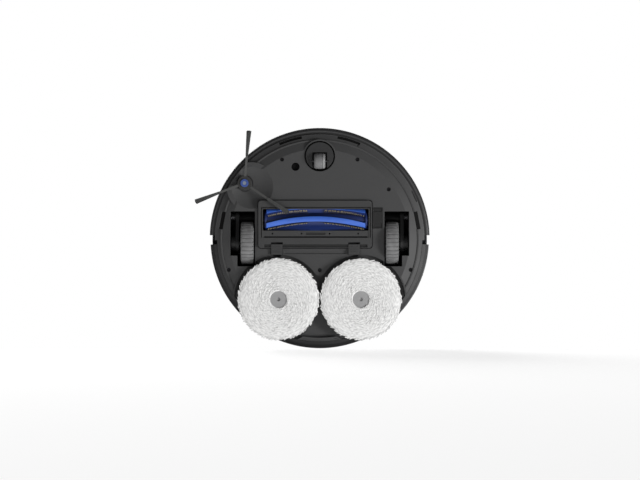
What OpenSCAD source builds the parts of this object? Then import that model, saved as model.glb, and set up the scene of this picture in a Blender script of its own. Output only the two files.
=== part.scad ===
// Robot vacuum with two spinning mop pads.
// The origin is on the floor under the middle of the body, +Z is up and the front is at -Y.

/* [Body] */
// Diameter of the body behind the bumper
body_d = 349; // [330:1:430]
// Height of the top cover above the floor
shell_h = 85; // [80:1:110]
// Height of the underside plate above the floor
plate_z = 13; // [12:0.5:15]
// Thickness of the underside plate
plate_t = 3; // [2.6:0.2:4]
// Wall of the outer shells
wall = 2.4; // [1.8:0.2:3]
// Gap between pieces that are fixed side by side
seam = 0.4; // [0.3:0.1:0.8]
// Travel of the bumper
bumper_travel = 3.5; // [2:0.5:4]

/* [Drive wheels] */
// Diameter of a drive wheel over its tread
wheel_d = 68; // [60:1:72]
// Width of a drive wheel
wheel_w = 20.5; // [16:0.5:22]
// Distance of a wheel's middle from the centre line
wheel_x = 115.3; // [114:0.5:118]
// Place of the wheel axle behind the middle
wheel_y = 6.3; // [4:0.5:8]
// Thickness of the tyre
tyre_t = 6; // [4:0.5:8]

/* [Caster] */
// Diameter of the caster wheel
caster_d = 25; // [22:0.5:27]
// Width of the caster wheel
caster_w = 20.4; // [16:0.5:22]
// Distance of the caster wheel's axle behind its swivel
caster_trail = 7.9; // [6:0.1:9]
// Radius of the swivelling disc
caster_disc_r = 22; // [21.5:0.5:24]

/* [Main brush] */
// Diameter over the tips of the roller's fins
roller_d = 41; // [36:1:42]
// Length of the roller's working part
roller_l = 157; // [130:1:158]
// Middle of the roller along the body's width
roller_x = -6; // [-8:1:-4]
// Place of the roller's axis, before the middle of the body
roller_y = -30.5; // [-32:0.5:-30]
// Gap between the roller's tips and the floor
roller_lift = 3.5; // [3.5:0.5:6]
// Number of chevron fins round the roller
roller_fins_n = 5; // [4:1:8]

/* [Side brush] */
// Reach of the bristle tips from the hub
side_brush_reach = 84; // [70:1:90]
// Radius of the hub's cap
side_brush_cap_r = 6.3; // [5:0.1:7]

/* [Mop] */
// Diameter of a mop pad
pad_d = 130.2; // [110:1:130.4]
// Thickness of a mop pad
pad_t = 7; // [5:0.5:7.5]
// Height that the pads lift to cross a carpet
pad_lift = 8; // [5:0.5:9]
// Half the distance between the two pads' axes
pad_x = 65.4; // [65.4:0.1:68]
// Place of the pads' axes behind the middle
pad_y = 95.7; // [95:0.5:100]

/* [Dust bin] */
// Width of the dust bin
bin_w = 116; // [90:1:117]
// Depth of the dust bin, front to back
bin_d = 55; // [40:1:56]

/* [LiDAR turret] */
// Radius of the turret's cap
lidar_r = 42; // [40:1:44]
// Height of the turret above the top cover
lidar_h = 19; // [17:1:24]

/* [Hidden] */
$fn = 96;

// Radial sizes of the shells
body_r = body_d / 2;
flat_r = body_r - 31.5;
crease_r = body_r - 11;
base_edge_r = body_r - 7.7;
ring_r = body_r - 16.5;
bumper_r = body_r + 1;
bumper_y = -1.8;
bumper_end = 1.4;
skirt_start = 2.9;
band_t = 2.6;
band_rise = 7.6;
edge_z = plate_z + band_rise;
plate_top = plate_z + plate_t;

// Heights of the shells
cover_t = 2.8;
cover_floor_z = shell_h - 2.6;
cover_under_z = cover_floor_z - wall;
skirt_top = cover_under_z - seam;
lip_z = edge_z + band_t + 0.5;
run = 0.06;

// Coils between the ring wall and the bumper, short enough for the pressed bumper
spring_x = 50;
spring_y = -sqrt(pow(ring_r, 2) - pow(spring_x - 4, 2)) - 0.3;
spring_room = spring_y - bumper_y + sqrt(pow(bumper_r - wall, 2) - pow(spring_x + 4, 2)) - bumper_travel;
spring_turns = floor((spring_room - 2.1) / 1.5) + 1;

// Mop recess and its nose between the pads
recess_r = pad_d / 2 + 5.5;
recess_top = pad_t + 3 + pad_lift + 4;
nose_r = 9.5;
nose_y = pad_y - sqrt(pow(recess_r + nose_r, 2) - pad_x * pad_x);
recess_back_r = body_r - 17.5;

// Wheel wells, given for the right side
wheel_r = wheel_d / 2;
well_x0 = wheel_x - wheel_w / 2 - 2.1;
well_x1 = wheel_x + wheel_w / 2 + 16.5;
well_step_x = wheel_x + wheel_w / 2 + 5.5;
well_y0 = wheel_y - wheel_r - 16.3;
well_step_y = wheel_y + 20.2;
well_y1 = wheel_y + wheel_r + 3.2;
housing_t = 1.6;
housing_top = wheel_d + 8;
pivot_y = well_y0 + 9;
pivot_z = wheel_r + 8;
motor_y = wheel_y - wheel_r - 5;
motor_z = wheel_r + 28;
arm_x0 = wheel_x + wheel_w / 2 + 3;
arm_x1 = well_x1 - 8;
gear_x1 = well_x1 - 1;

// Caster
caster_y = -131.8;
caster_groove_r = caster_disc_r + 2.3;
caster_axle_y = caster_y + caster_trail;
caster_axle_r = 1.5;
caster_block_top = caster_d + 4;
stem_r = 3;

// Brush guard and chamber
roller_r = roller_d / 2;
roller_z = roller_r + roller_lift;
roller_tube_r = 13;
fin_twist = 34;
guard_x0 = roller_x - roller_l / 2 - 13.1;
guard_x1 = roller_x + roller_l / 2 + 10.5;
guard_y0 = roller_y - 30.6;
guard_y1 = roller_y + 45;
guard_z = plate_z - 4;
guard_t = 3.8;
guard_r = 5;
window_x0 = guard_x0 + 7.3;
window_x1 = guard_x1 - 5.2;
window_y0 = guard_y0 + 13.6;
window_y1 = guard_y1 - 16.6;
chamber_r = roller_r + 2.6;
chamber_t = 2.2;
chamber_z = plate_top + 0.1;
hatch_y0 = guard_y0 + 12;
hatch_y1 = window_y1 - 15.1;
latch_w = 18;
latch_xs = [guard_x0 + 29.4, guard_x1 - 28.3];
latch_y0 = guard_y1 - 6;
latch_y1 = guard_y1 + 10.5;
latch_travel = 3;
hatch_w = 16.2;
mouth_x = [-60, 4];
mouth_z = [roller_z + 6, roller_z + 18];

// Side brush
side_brush = [-119.3, -88.7];
dish = [-108.4, -82.7];
dish_r = 34.5;
dish_depth = 6.5;
dish_ball_r = (dish_r * dish_r + dish_depth * dish_depth) / (2 * dish_depth);
dish_ball_z = plate_z + dish_depth - dish_ball_r;
arm_angles = [-85, 34, 159];
arm_end = 46;

// Dust bin bay
bay_x0 = -89;
bay_y0 = -4.4;
bay_t = 1.8;
bay_floor = 28;
fan_z = 52;
bin_x0 = bay_x0 + bay_t + 0.6;
bin_y0 = bay_y0 + bay_t + 0.6;
bin_z0 = bay_floor + bay_t + 0.4;
bin_top = cover_floor_z - 4;
handle_y = bin_y0 + 16.4;
handle_z = bin_top + 0.2;
bay_x1 = bin_x0 + bin_w + 0.6 + bay_t;
bay_y1 = bin_y0 + bin_d + 0.6 + bay_t;

// Lid and turret
lid_r = body_r - 24.5;
lid_y0 = -112;
lid_y1 = bay_y1 + 1.5;
lidar_y = lid_y1 + lidar_r + 4;
lidar_ring_r = lidar_r + 2;
lidar_cup_r = lidar_r - 2;
lidar_ring_z = shell_h + 3.4;
lidar_cap_z = shell_h + lidar_h - 5;
lidar_floor = shell_h - 13;
drum_r = 18;
pulley_r = 4;
pulley_x = 26;
belt_z = lidar_floor + 3.4;
button_y = -132;
buttons = [[-14, 8], [14, 6]];

// Places of the screws that hold the underside plate
screws = [[-60, -126.5], [60, -126.5], [109.7, -79], [-144.7, 49], [144.7, 49], [0, nose_y]];
pit_r = 3.2;
contact_turn = 7.2;

// Extrudes a drawing of Y and Z from x0 to x1.
module along_x(x0, x1) {
    translate([x0, 0, 0])
        rotate([90, 0, 90])
            linear_extrude(x1 - x0)
                children();
}

module box(x, y, z) {
    translate([x[0], y[0], z[0]])
        cube([x[1] - x[0], y[1] - y[0], z[1] - z[0]]);
}

module ring(r0, r1, z0, z1) {
    translate([0, 0, z0])
        difference() {
            cylinder(r = r1, h = z1 - z0);
            translate([0, 0, -1])
                cylinder(r = r0, h = z1 - z0 + 2);
        }
}

// A rectangle with round corners.
module soft_rect(x, y, r) {
    translate([x[0] + r, y[0]])
        square([x[1] - x[0] - 2 * r, y[1] - y[0]]);
    translate([x[0], y[0] + r])
        square([x[1] - x[0], y[1] - y[0] - 2 * r]);
    for (cx = [x[0] + r, x[1] - r])
        for (cy = [y[0] + r, y[1] - r])
            translate([cx, cy])
                circle(r);
}

// Height of the underside at the radius r.
function band_z(r) = plate_z + band_rise * max(0, r - flat_r) / (base_edge_r - flat_r);

// Points of an arc round c, from angle a0 to a1.
function arc(c, r, a0, a1, n = 6) =
    [for (i = [0 : n]) let (a = a0 + (a1 - a0) * i / n) [c[0] + r * cos(a), c[1] + r * sin(a)]];

// Outline of the space over the mop pads, grown for its walls.
module recess_2d(grow = 0) {
    reach = (recess_r + grow) / (recess_r + nose_r);
    tip_x = pad_x * (1 - reach);
    tip_y = pad_y + (nose_y - pad_y) * reach;
    for (s = [-1, 1])
        translate([s * pad_x, pad_y])
            circle(recess_r + grow);
    difference() {
        polygon([[-tip_x, tip_y], [tip_x, tip_y], [20, pad_y], [-20, pad_y]]);
        translate([0, nose_y])
            circle(nose_r - grow);
    }
    intersection() {
        translate([-40 - grow, pad_y])
            square([80 + 2 * grow, 100]);
        circle(recess_back_r + grow);
    }
}

// Outline of the right wheel well, grown for its walls.
module well_2d(grow = 0) {
    translate([well_x0 - grow, well_y0 - grow])
        square([well_x1 - well_x0 + 2 * grow, well_step_y - well_y0 + 2 * grow]);
    translate([well_x0 - grow, well_y0])
        square([well_step_x - well_x0 + 2 * grow, well_y1 - well_y0 + grow]);
}

module both_sides() {
    children();
    mirror([1, 0, 0])
        children();
}

module dish_ball(grow) {
    translate([dish[0], dish[1], dish_ball_z])
        sphere(r = dish_ball_r + grow, $fn = 120);
}

// A window of the front floor sensors, as an arc near the rim.
module front_window(r0, r1, z0, z1) {
    for (a = [247, 280])
        rotate_extrude(angle = 13, start = a)
            translate([r0, z0])
                square([r1 - r0, z1 - z0]);
}

// A window of the side floor sensors, turned and tilted to follow the band.
module side_window(grow, z0, z1) {
    r = body_r - 16.7;
    both_sides()
        rotate([0, 0, -10.8])
            translate([r, 0, band_z(r)])
                rotate([0, -atan(band_rise / (base_edge_r - flat_r)), 0])
                    box([-3 - grow, 3 + grow], [-14 - grow, 14 + grow], [z0, z1]);
}

module base_shell() {
    color("#3b3d40")
        difference() {
            union() {
                rotate_extrude()
                    polygon([
                        [0, plate_z], [flat_r, plate_z], [base_edge_r, edge_z],
                        [base_edge_r, edge_z + band_t], [flat_r - 1, plate_top], [0, plate_top]
                    ]);
                ring(ring_r - wall, ring_r, plate_top, skirt_top - 2);
                intersection() {
                    translate([0, 0, plate_z])
                        linear_extrude(recess_top + wall - plate_z)
                            recess_2d(wall);
                    cylinder(r = crease_r - 0.3, h = 60);
                }
                intersection() {
                    dish_ball(plate_t);
                    translate([0, 0, plate_z + 1])
                        cylinder(r = base_edge_r, h = 30);
                }
                translate([0, caster_y, plate_z])
                    cylinder(r = caster_groove_r + wall, h = caster_block_top + 4 - plate_z);
                translate([0, caster_y, plate_z])
                    cylinder(r = stem_r + 2.5, h = caster_block_top + 14 - plate_z);
                // screw bosses, trimmed to the sloping band
                intersection() {
                    for (p = screws)
                        translate([p[0], p[1], plate_z])
                            cylinder(r = 5, h = band_z(norm(p)) - plate_z + 11);
                    rotate_extrude()
                        polygon([
                            [0, plate_z + 1], [flat_r, plate_z + 1], [base_edge_r, edge_z + 1],
                            [base_edge_r, 60], [0, 60]
                        ]);
                }
                translate([-38.5, -115, plate_z])
                    cylinder(r = 9, h = 12);
            }
            // the rear band ends at the crease
            difference() {
                box([-300, 300], [2, 300], [0, 60]);
                cylinder(r = crease_r - 0.3, h = 200, center = true);
            }
            difference() {
                translate([0, 0, -1])
                    linear_extrude(recess_top + 1)
                        recess_2d();
                translate([0, nose_y, 0])
                    cylinder(r = 5, h = 60);
            }
            // the mop shafts pass through the recess roof
            both_sides()
                translate([pad_x, pad_y, 0])
                    cylinder(r = 6.5, h = 60);
            both_sides()
                translate([0, 0, -1])
                    linear_extrude(30)
                        well_2d();
            both_sides()
                translate([0, 0, plate_top])
                    linear_extrude(30)
                        well_2d(housing_t + seam);
            dish_ball(0);
            translate([side_brush[0], side_brush[1], 0])
                cylinder(r = 13, h = plate_z + dish_depth + 0.6);
            translate([side_brush[0], side_brush[1], 0])
                cylinder(r = 5, h = 40);
            translate([0, caster_y, -1])
                cylinder(r = caster_groove_r, h = caster_block_top + 3);
            translate([0, caster_y, 0])
                cylinder(r = stem_r + run, h = 80);
            // opening for the guard, with notches for its latches and a finger recess
            translate([0, 0, -1])
                linear_extrude(60)
                    soft_rect([guard_x0 - 1, guard_x1 + 1], [guard_y0 - 1, guard_y1 + 1], guard_r);
            for (x = latch_xs)
                box([x - latch_w / 2 - 0.5, x + latch_w / 2 + 0.5], [guard_y1 - 4, latch_y1 + 0.5], [0, 60]);
            for (x = latch_xs)
                box([x - 6, x + 6], [guard_y1, latch_y1 + 3.4], [plate_z + 1.4, 60]);
            box([latch_xs[0] + 12, latch_xs[1] - 12], [guard_y1 + 3.1, guard_y1 + 9.2], [0, plate_z + 1.8]);
            box([guard_x1, guard_x1 + hatch_w + 1.2], [hatch_y0 - 0.5, hatch_y1 + 0.4], [0, 60]);
            for (p = screws)
                translate([p[0], p[1], 0])
                    cylinder(r = pit_r, h = band_z(norm(p)) + 5);
            for (p = screws)
                translate([p[0], p[1], 0])
                    cylinder(r = 1.35, h = 40);
            translate([60.6, -148.7, 0])
                cylinder(r = 1.4, h = plate_z + 7.4);
            translate([-38.5, -115, 0])
                cylinder(r = 6.5, h = 22);
            front_window(body_r - 12.2, body_r - 8.1, 0, plate_z + 20);
            side_window(0.2, -3, 1.6);
            // relief in the rim for the wall sensor
            translate([152, -69, 0])
                rotate([0, 0, -24])
                    cube([5, 19, 60], center = true);
        }
}

module rear_skirt() {
    color("#2c2e31")
        difference() {
            rotate_extrude(angle = 180 - 2 * skirt_start, start = skirt_start)
                polygon(concat(
                    [[crease_r, edge_z - 0.6], [body_r - 6, edge_z + 0.9]],
                    arc([body_r - 8, edge_z + 10], 8, -45, 0),
                    [[body_r, skirt_top], [body_r - wall, skirt_top]],
                    arc([body_r - 8, edge_z + 10], 8 - wall, 0, -45),
                    [[crease_r, edge_z + 1.8]]
                ));
            for (s = [-1, 1])
                rotate([0, 0, s * contact_turn])
                    box([-7.3, 7.3], [body_r - 2.9, body_r + 2], [40, 54.6]);
            for (i = [0 : 8])
                rotate([0, 0, 24 + 3.2 * i])
                    translate([body_r - 1, 0, 53])
                        cube([10, 3, 26], center = true);
        }
}

module lid_2d(grow = 0) {
    intersection() {
        circle(lid_r + grow);
        translate([-300, lid_y0 - grow])
            square([600, lid_y1 - lid_y0 + 2 * grow]);
    }
}

module top_cover() {
    color("#2b2d30")
        difference() {
            union() {
                rotate_extrude()
                    polygon(concat(
                        [[0, shell_h - cover_t], [0, shell_h]],
                        arc([body_r - 6.2, shell_h - 5.2], 5.2, 90, 0),
                        [[body_r - 1 - wall, cover_under_z], [body_r - 7, shell_h - cover_t]]
                    ));
                translate([0, 0, cover_under_z])
                    cylinder(r = lid_r + 3, h = wall + 1);
            }
            translate([0, 0, cover_floor_z])
                linear_extrude(20)
                    lid_2d(seam);
            box([bay_x0 + bay_t, bay_x1 - bay_t], [bay_y0 + bay_t, bay_y1 - bay_t], [0, 200]);
            translate([0, lidar_y, 0])
                cylinder(r = lidar_cup_r + seam, h = 200);
            for (b = buttons)
                translate([b[0], button_y, 0])
                    cylinder(r = b[1] + 0.3, h = 200);
            translate([0, lid_y0 - 1, cover_floor_z])
                cylinder(r = 9, h = 20);
        }
}

module top_lid() {
    color("#232528")
        difference() {
            translate([0, 0, cover_floor_z + 0.05])
                linear_extrude(shell_h - cover_floor_z - 0.05)
                    lid_2d();
            // the finger notch at the front edge
            translate([0, lid_y0 - 1, 0])
                cylinder(r = 9, h = 200);
        }
}

module bumper_shell() {
    z1 = skirt_top;
    color("#2a2c2f")
        difference() {
            translate([0, bumper_y, 0])
                rotate_extrude(angle = 180 - 2 * bumper_end, start = 180 + bumper_end)
                    polygon(concat(
                        [[bumper_r - 11, lip_z], [bumper_r - 5.5, lip_z]],
                        arc([bumper_r - 5.2, lip_z + 5.2], 5.2, -90, 0),
                        arc([bumper_r - 5.2, z1 - 5.2], 5.2, 0, 90),
                        [[bumper_r - 11, z1], [bumper_r - 11, z1 - wall]],
                        arc([bumper_r - 5.2, z1 - 5.2], 5.2 - wall, 90, 0),
                        arc([bumper_r - 5.2, lip_z + 5.2], 5.2 - wall, 0, -90),
                        [[bumper_r - 11, lip_z + wall]]
                    ));
            bumper_glass(-0.15);
        }
}

// Dark windows set in the bumper: the wide front one and the wall sensor's at the right.
module bumper_glass(sink) {
    for (w = [[232, 76, 42, 64], [331, 9, 44, 58]])
        translate([0, bumper_y, 0])
            rotate_extrude(angle = w[1], start = w[0])
                translate([bumper_r - 1.2 + sink, w[2]])
                    square([1.3 - 2 * sink, w[3] - w[2]]);
}

module bumper_window() {
    color("#101114")
        intersection() {
            bumper_glass(0);
            translate([0, bumper_y, 0])
                cylinder(r = bumper_r, h = 200);
        }
}

// Two coils, each wound from touching turns.
module bumper_springs() {
    color("#b8bcc0")
        for (s = [-1, 1])
            translate([s * spring_x, spring_y, 50])
                rotate([90, 0, 0])
                    rotate_extrude()
                        for (i = [0 : spring_turns - 1])
                            translate([3.2, 1 + 1.5 * i])
                                circle(r = 0.85, $fn = 24);
}

module brush_guard() {
    x = [window_x0, window_x1];
    color("#45474a")
        difference() {
            translate([0, 0, guard_z])
                linear_extrude(guard_t)
                    soft_rect([guard_x0, guard_x1], [guard_y0, guard_y1], guard_r);
            translate([0, 0, guard_z - 1])
                linear_extrude(20)
                    soft_rect(x, [window_y0, window_y1 - 11.2], 1.5);
            // a groove round the window, whose front edge is thinned to clear the roller
            box([x[0] - 3.2, x[1] + 3.2], [window_y0 - 3.4, window_y0 - 1.4], [guard_z - 1, guard_z + 1.8]);
            for (gx = [x[0] - 3.2, x[1] + 1.6])
                box([gx, gx + 1.6], [window_y0 - 3.4, window_y1], [guard_z - 1, guard_z + 1.8]);
            box(x, [window_y0 - 1.6, window_y0 + 1], [guard_z + 2.6, guard_z + 9]);
            // the lower lip bar lies a little deeper, with a slot, four pips and a gap behind it
            box(x, [window_y1 - 11.2, window_y1], [guard_z - 1, guard_z + 0.9]);
            box(x, [window_y1 - 12, window_y1], [guard_z + 2.9, guard_z + 9]);
            box([x[0] + 2, x[1] - 2], [window_y1 - 2.1, window_y1], [guard_z - 1, guard_z + 9]);
            translate([0, 0, guard_z - 1])
                linear_extrude(2.7)
                    soft_rect([-22.4, 9.2], [window_y1 - 8.2, window_y1 - 4.6], 1.7);
            for (px = [-75.2, -29.1, 15.7, 61.2])
                translate([px, window_y1 - 6.4, guard_z - 1])
                    cylinder(r = 1.3, h = 9);
            // a step behind the lip and the gap before the rear edge
            box([x[0] + 2, x[1] - 2], [window_y1 + 10.5, window_y1 + 15.4], [guard_z - 1, guard_z + 2.2]);
            for (lx = latch_xs)
                box([lx - latch_w / 2 - 0.4, lx + latch_w / 2 + 0.4],
                    [latch_y0 - latch_travel - 0.4, 99], [guard_z - 1, 30]);
        }
}

module guard_latch(x) {
    color("#37393c")
        union() {
            box([x - latch_w / 2, x + latch_w / 2], [latch_y0, latch_y1], [guard_z + 0.4, plate_z + 0.6]);
            box([x - 5, x + 5], [latch_y1 - 4, latch_y1], [plate_z, plate_z + 2.8]);
            box([x - 5, x + 5], [latch_y1 - 1, latch_y1 + 0.2], [plate_z + 1.6, plate_z + 2.8]);
            for (i = [0 : 3])
                translate([0, 3 + 3 * i, 0])
                    box([x - 7, x + 7], [latch_y0, latch_y0 + 1.2], [guard_z - 0.2, guard_z + 0.5]);
        }
}

module guard_latch_left() {
    guard_latch(latch_xs[0]);
}

module guard_latch_right() {
    guard_latch(latch_xs[1]);
}

module brush_drive_cover() {
    x = [guard_x1 + 1, guard_x1 + hatch_w + 0.9];
    color("#3f4144")
        difference() {
            box(x, [hatch_y0, hatch_y1], [plate_z - 2, plate_z]);
            // the finger grip and the seat of the catch
            box([x[0] + 1, x[1] - 1], [hatch_y0 + 1, hatch_y0 + 5.4], [0, plate_z - 0.6]);
            box([x[0] + 1, x[1] - 1], [hatch_y1 - 8, hatch_y1 - 1.2], [0, plate_z - 0.6]);
        }
}

module brush_chamber() {
    x0 = guard_x0 - 2.1;
    x1 = guard_x1 + 0.4;
    color("#303235")
        difference() {
            union() {
                box([x0, x1], [guard_y0 - 4, latch_y1 + 6], [chamber_z, chamber_z + 1.8]);
                along_x(window_x0 - 3, window_x1 + 3)
                    union() {
                        translate([roller_y, roller_z])
                            circle(chamber_r + chamber_t);
                        translate([roller_y - chamber_r - chamber_t, chamber_z])
                            square([2 * (chamber_r + chamber_t), roller_z - chamber_z]);
                        translate([roller_y, chamber_z])
                            square([chamber_r + chamber_t, mouth_z[1] + 2 - chamber_z]);
                    }
            }
            along_x(window_x0, window_x1)
                union() {
                    translate([roller_y, roller_z])
                        circle(chamber_r);
                    translate([roller_y - chamber_r, 0])
                        square([2 * chamber_r, roller_z]);
                }
            box(mouth_x, [roller_y, 0], mouth_z);
            // the drive end of the roller passes through the right wall
            translate([window_x1 - 1, roller_y, roller_z])
                rotate([0, 90, 0])
                    cylinder(r = 6, h = 6);
            // the other end turns in a blind socket
            translate([window_x0 - 2, roller_y, roller_z])
                rotate([0, 90, 0])
                    cylinder(r = 3 + run, h = 4);
            for (x = latch_xs)
                box([x - 6, x + 6], [guard_y1 - 4, latch_y1 + 3.4], [0, chamber_z + 0.4]);
            translate([screws[5][0], screws[5][1], 0])
                cylinder(r = 5.4, h = 60);
            // nothing hangs below the flange, and the side brush's dish keeps its room
            box([x0 - 50, x1 + 50], [guard_y0 - 50, latch_y1 + 50], [-50, chamber_z]);
            dish_ball(plate_t + seam);
            translate([0, 0, chamber_z - 1])
                linear_extrude(20)
                    recess_2d(wall + seam);
        }
}

// Gear case at the roller's drive end, with its motor lying over the chamber.
module brush_motor() {
    x0 = guard_x1 + 1.6;
    color("#55585c")
        difference() {
            union() {
                box([x0, guard_x1 + hatch_w - 0.6], [roller_y - 17, roller_y + 13],
                    [plate_z + 0.3, roller_z + 52]);
                translate([x0 - 50, roller_y, roller_z + 40])
                    rotate([0, 90, 0])
                        cylinder(r = 12, h = 52);
            }
            translate([x0 - 1, roller_y, roller_z])
                rotate([0, 90, 0])
                    cylinder(r = 4 + run, h = 8);
        }
}

module roller_core() {
    x0 = roller_x - roller_l / 2;
    x1 = roller_x + roller_l / 2;
    color("#2a52a0")
        translate([0, roller_y, roller_z])
            rotate([0, 90, 0]) {
                translate([0, 0, x0])
                    cylinder(r = roller_tube_r, h = roller_l);
                // end caps, the round axle stub and the drive stub
                for (x = [x0 - 3, x1])
                    translate([0, 0, x])
                        cylinder(r = 16, h = 3);
                translate([0, 0, window_x0 - 1.6])
                    cylinder(r = 3, h = x0 - window_x0);
                translate([0, 0, x1 + 2])
                    cylinder(r = 4, h = guard_x1 + 8 - x1 - 2);
            }
}

// Each chevron fin is two rows of short blocks that turn away from the roller's middle.
module roller_fins() {
    steps = 10;
    step_l = roller_l / 2 / steps;
    color("#3f6fd6")
        difference() {
            translate([roller_x, roller_y, roller_z])
                rotate([0, 90, 0])
                    for (k = [0 : roller_fins_n - 1])
                        for (s = [0, 1])
                            mirror([0, 0, s])
                                for (i = [0 : steps - 1])
                                    rotate([0, 0, 360 * k / roller_fins_n + fin_twist * i / steps])
                                        translate([12.5, -1.3, i * step_l - 0.05])
                                            cube([roller_r - 12.6, 2.6, step_l + 0.05]);
            translate([roller_x - 200, roller_y, roller_z])
                rotate([0, 90, 0])
                    cylinder(r = roller_tube_r + 0.03, h = 400);
        }
}

module roller_bristles() {
    color("#d8d2b0")
        translate([roller_x, roller_y, roller_z])
            rotate([0, 90, 0])
                for (k = [0 : 2 : roller_fins_n - 1])
                    rotate([0, 0, 360 * (k + 0.5) / roller_fins_n])
                        for (s = [-1, 1])
                            for (i = [0 : 7])
                                rotate([0, 0, fin_twist * (i + 0.5) / 8])
                                    translate([roller_tube_r + 0.1, -0.8, s * (i + 0.5) * roller_l / 16 - 2])
                                        cube([roller_r - roller_tube_r - 0.2, 1.6, 4]);
}

module side_brush_motor() {
    z0 = plate_z + dish_depth + 4;
    color("#4a4d51")
        translate([side_brush[0], side_brush[1], 0])
            difference() {
                union() {
                    translate([0, 0, z0])
                        cylinder(r = 6, h = 11);
                    translate([15, 11, z0])
                        cylinder(r = 15, h = 12);
                    translate([15, 11, z0 + 11])
                        cylinder(r = 12, h = 24);
                }
                cylinder(r = 2.5 + run, h = 33.6);
            }
}

module side_brush_hub() {
    color("#2b62c4")
        translate([side_brush[0], side_brush[1], 0])
            difference() {
                union() {
                    translate([0, 0, 4])
                        cylinder(r = side_brush_cap_r, h = 7);
                    cylinder(r = 2.5, h = 33);
                }
                translate([0, 0, -1])
                    cylinder(r = 3.2, h = 6.2);
                cylinder(r = 1.25, h = 14);
            }
}

module side_brush_screw() {
    color("#c8ccd0")
        translate([side_brush[0], side_brush[1], 0]) {
            translate([0, 0, 4.4])
                cylinder(r = 3, h = 0.8);
            translate([0, 0, 5.2])
                cylinder(r = 1.2, h = 7);
        }
}

module side_brush_arms() {
    tilt = asin(4.6 / (arm_end - 10));
    color("#26282a")
        translate([side_brush[0], side_brush[1], 0])
            difference() {
                union() {
                    translate([0, 0, 6])
                        cylinder(r = 11, h = 5);
                    for (a = arm_angles)
                        rotate([0, 0, a])
                            translate([8, -1.75, 6.2])
                                rotate([0, tilt, 0])
                                    cube([(arm_end - 8) / cos(tilt), 3.5, 2]);
                }
                cylinder(r = side_brush_cap_r + 0.05, h = 40);
                rotate_extrude()
                    translate([arm_end, 0])
                        square([20, 20]);
            }
}

module side_brush_bristles() {
    color("#1c1d1f")
        translate([side_brush[0], side_brush[1], 1.1])
            for (a = arm_angles)
                rotate([0, 0, a])
                    linear_extrude(1.7)
                        polygon([
                            [arm_end + 0.1, -1.9], [side_brush_reach, -3.2],
                            [side_brush_reach, 3.2], [arm_end + 0.1, 1.9]
                        ]);
}

module caster_fork() {
    gap = 1.4;
    color("#4c4f52")
        difference() {
            union() {
                translate([0, caster_y, plate_z - 2.4])
                    cylinder(r = caster_disc_r, h = caster_block_top - plate_z + 2.4);
                translate([0, caster_y, 0])
                    translate([0, 0, caster_block_top - 1])
                        cylinder(r = stem_r, h = 12);
            }
            box([-caster_w / 2 - gap, caster_w / 2 + gap],
                [caster_axle_y - caster_d / 2 - gap, caster_axle_y + caster_d / 2 + gap],
                [0, caster_d + 1.5]);
            // notches that the axle snaps into
            translate([-14.5, caster_axle_y, caster_d / 2])
                rotate([0, 90, 0])
                    cylinder(r = caster_axle_r + run, h = 29);
            box([-14.5, 14.5], [caster_axle_y - 1.3, caster_axle_y + 1.3], [0, caster_d / 2]);
        }
}

module caster_wheel() {
    color("#6a6c6e")
        translate([-caster_w / 2, caster_axle_y, caster_d / 2])
            rotate([0, 90, 0])
                difference() {
                    cylinder(r = caster_d / 2, h = caster_w);
                    translate([0, 0, -1])
                        cylinder(r = caster_axle_r + run, h = caster_w + 2);
                }
}

module caster_axle() {
    color("#c2c5c8")
        translate([-14.4, caster_axle_y, caster_d / 2])
            rotate([0, 90, 0])
                cylinder(r = caster_axle_r, h = 28.8);
}

module wheel_housing() {
    color("#26282a")
        union() {
            difference() {
                translate([0, 0, plate_top + 0.1])
                    linear_extrude(housing_top + housing_t - plate_top - 0.1)
                        well_2d(housing_t);
                translate([0, 0, 0])
                    linear_extrude(housing_top)
                        well_2d(0);
            }
            // the pin that the gearbox arm swings on
            translate([arm_x0 + 0.5, pivot_y, pivot_z])
                rotate([0, 90, 0])
                    cylinder(r = 2.5, h = well_x1 - arm_x0);
        }
}

module wheel_housing_left() {
    mirror([1, 0, 0])
        wheel_housing();
}

module wheel_housing_right() {
    wheel_housing();
}

module drive_gearbox() {
    color("#515458")
        difference() {
            union() {
                along_x(arm_x0, arm_x1)
                    union() {
                        translate([pivot_y, pivot_z])
                            circle(8);
                        translate([wheel_y, wheel_r])
                            circle(14);
                        translate([motor_y, motor_z])
                            circle(8.5);
                        polygon([
                            [pivot_y - 1, pivot_z - 8], [wheel_y - 2, wheel_r - 13.9],
                            [wheel_y + 6, wheel_r + 12.6], [motor_y + 5, motor_z + 6.8],
                            [motor_y - 8, motor_z + 2], [pivot_y - 7.8, pivot_z + 1.5]
                        ]);
                    }
                translate([well_x0 + 1.5, motor_y, motor_z])
                    rotate([0, 90, 0])
                        cylinder(r = 8, h = arm_x0 - well_x0);
                translate([arm_x1 - 1, wheel_y, wheel_r])
                    rotate([0, 90, 0])
                        cylinder(r = 12, h = gear_x1 - arm_x1 + 1);
            }
            translate([arm_x0 - 1, pivot_y, pivot_z])
                rotate([0, 90, 0])
                    cylinder(r = 2.5 + run, h = 40);
            translate([arm_x0 - 1, wheel_y, wheel_r])
                rotate([0, 90, 0])
                    cylinder(r = 3 + run, h = gear_x1 - arm_x0 - 1);
        }
}

module drive_gearbox_left() {
    mirror([1, 0, 0])
        drive_gearbox();
}

module drive_gearbox_right() {
    drive_gearbox();
}

module wheel_hub() {
    color("#6c6f73")
        translate([wheel_x, wheel_y, wheel_r])
            rotate([0, 90, 0])
                difference() {
                    union() {
                        cylinder(r = wheel_r - tyre_t - 0.03, h = wheel_w, center = true);
                        cylinder(r = 3, h = wheel_w / 2 + gear_x1 - arm_x0);
                    }
                    for (s = [-1, 1])
                        translate([0, 0, s * wheel_w / 2])
                            ring(6, wheel_r - tyre_t - 3, -5, 5);
                }
}

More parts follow.
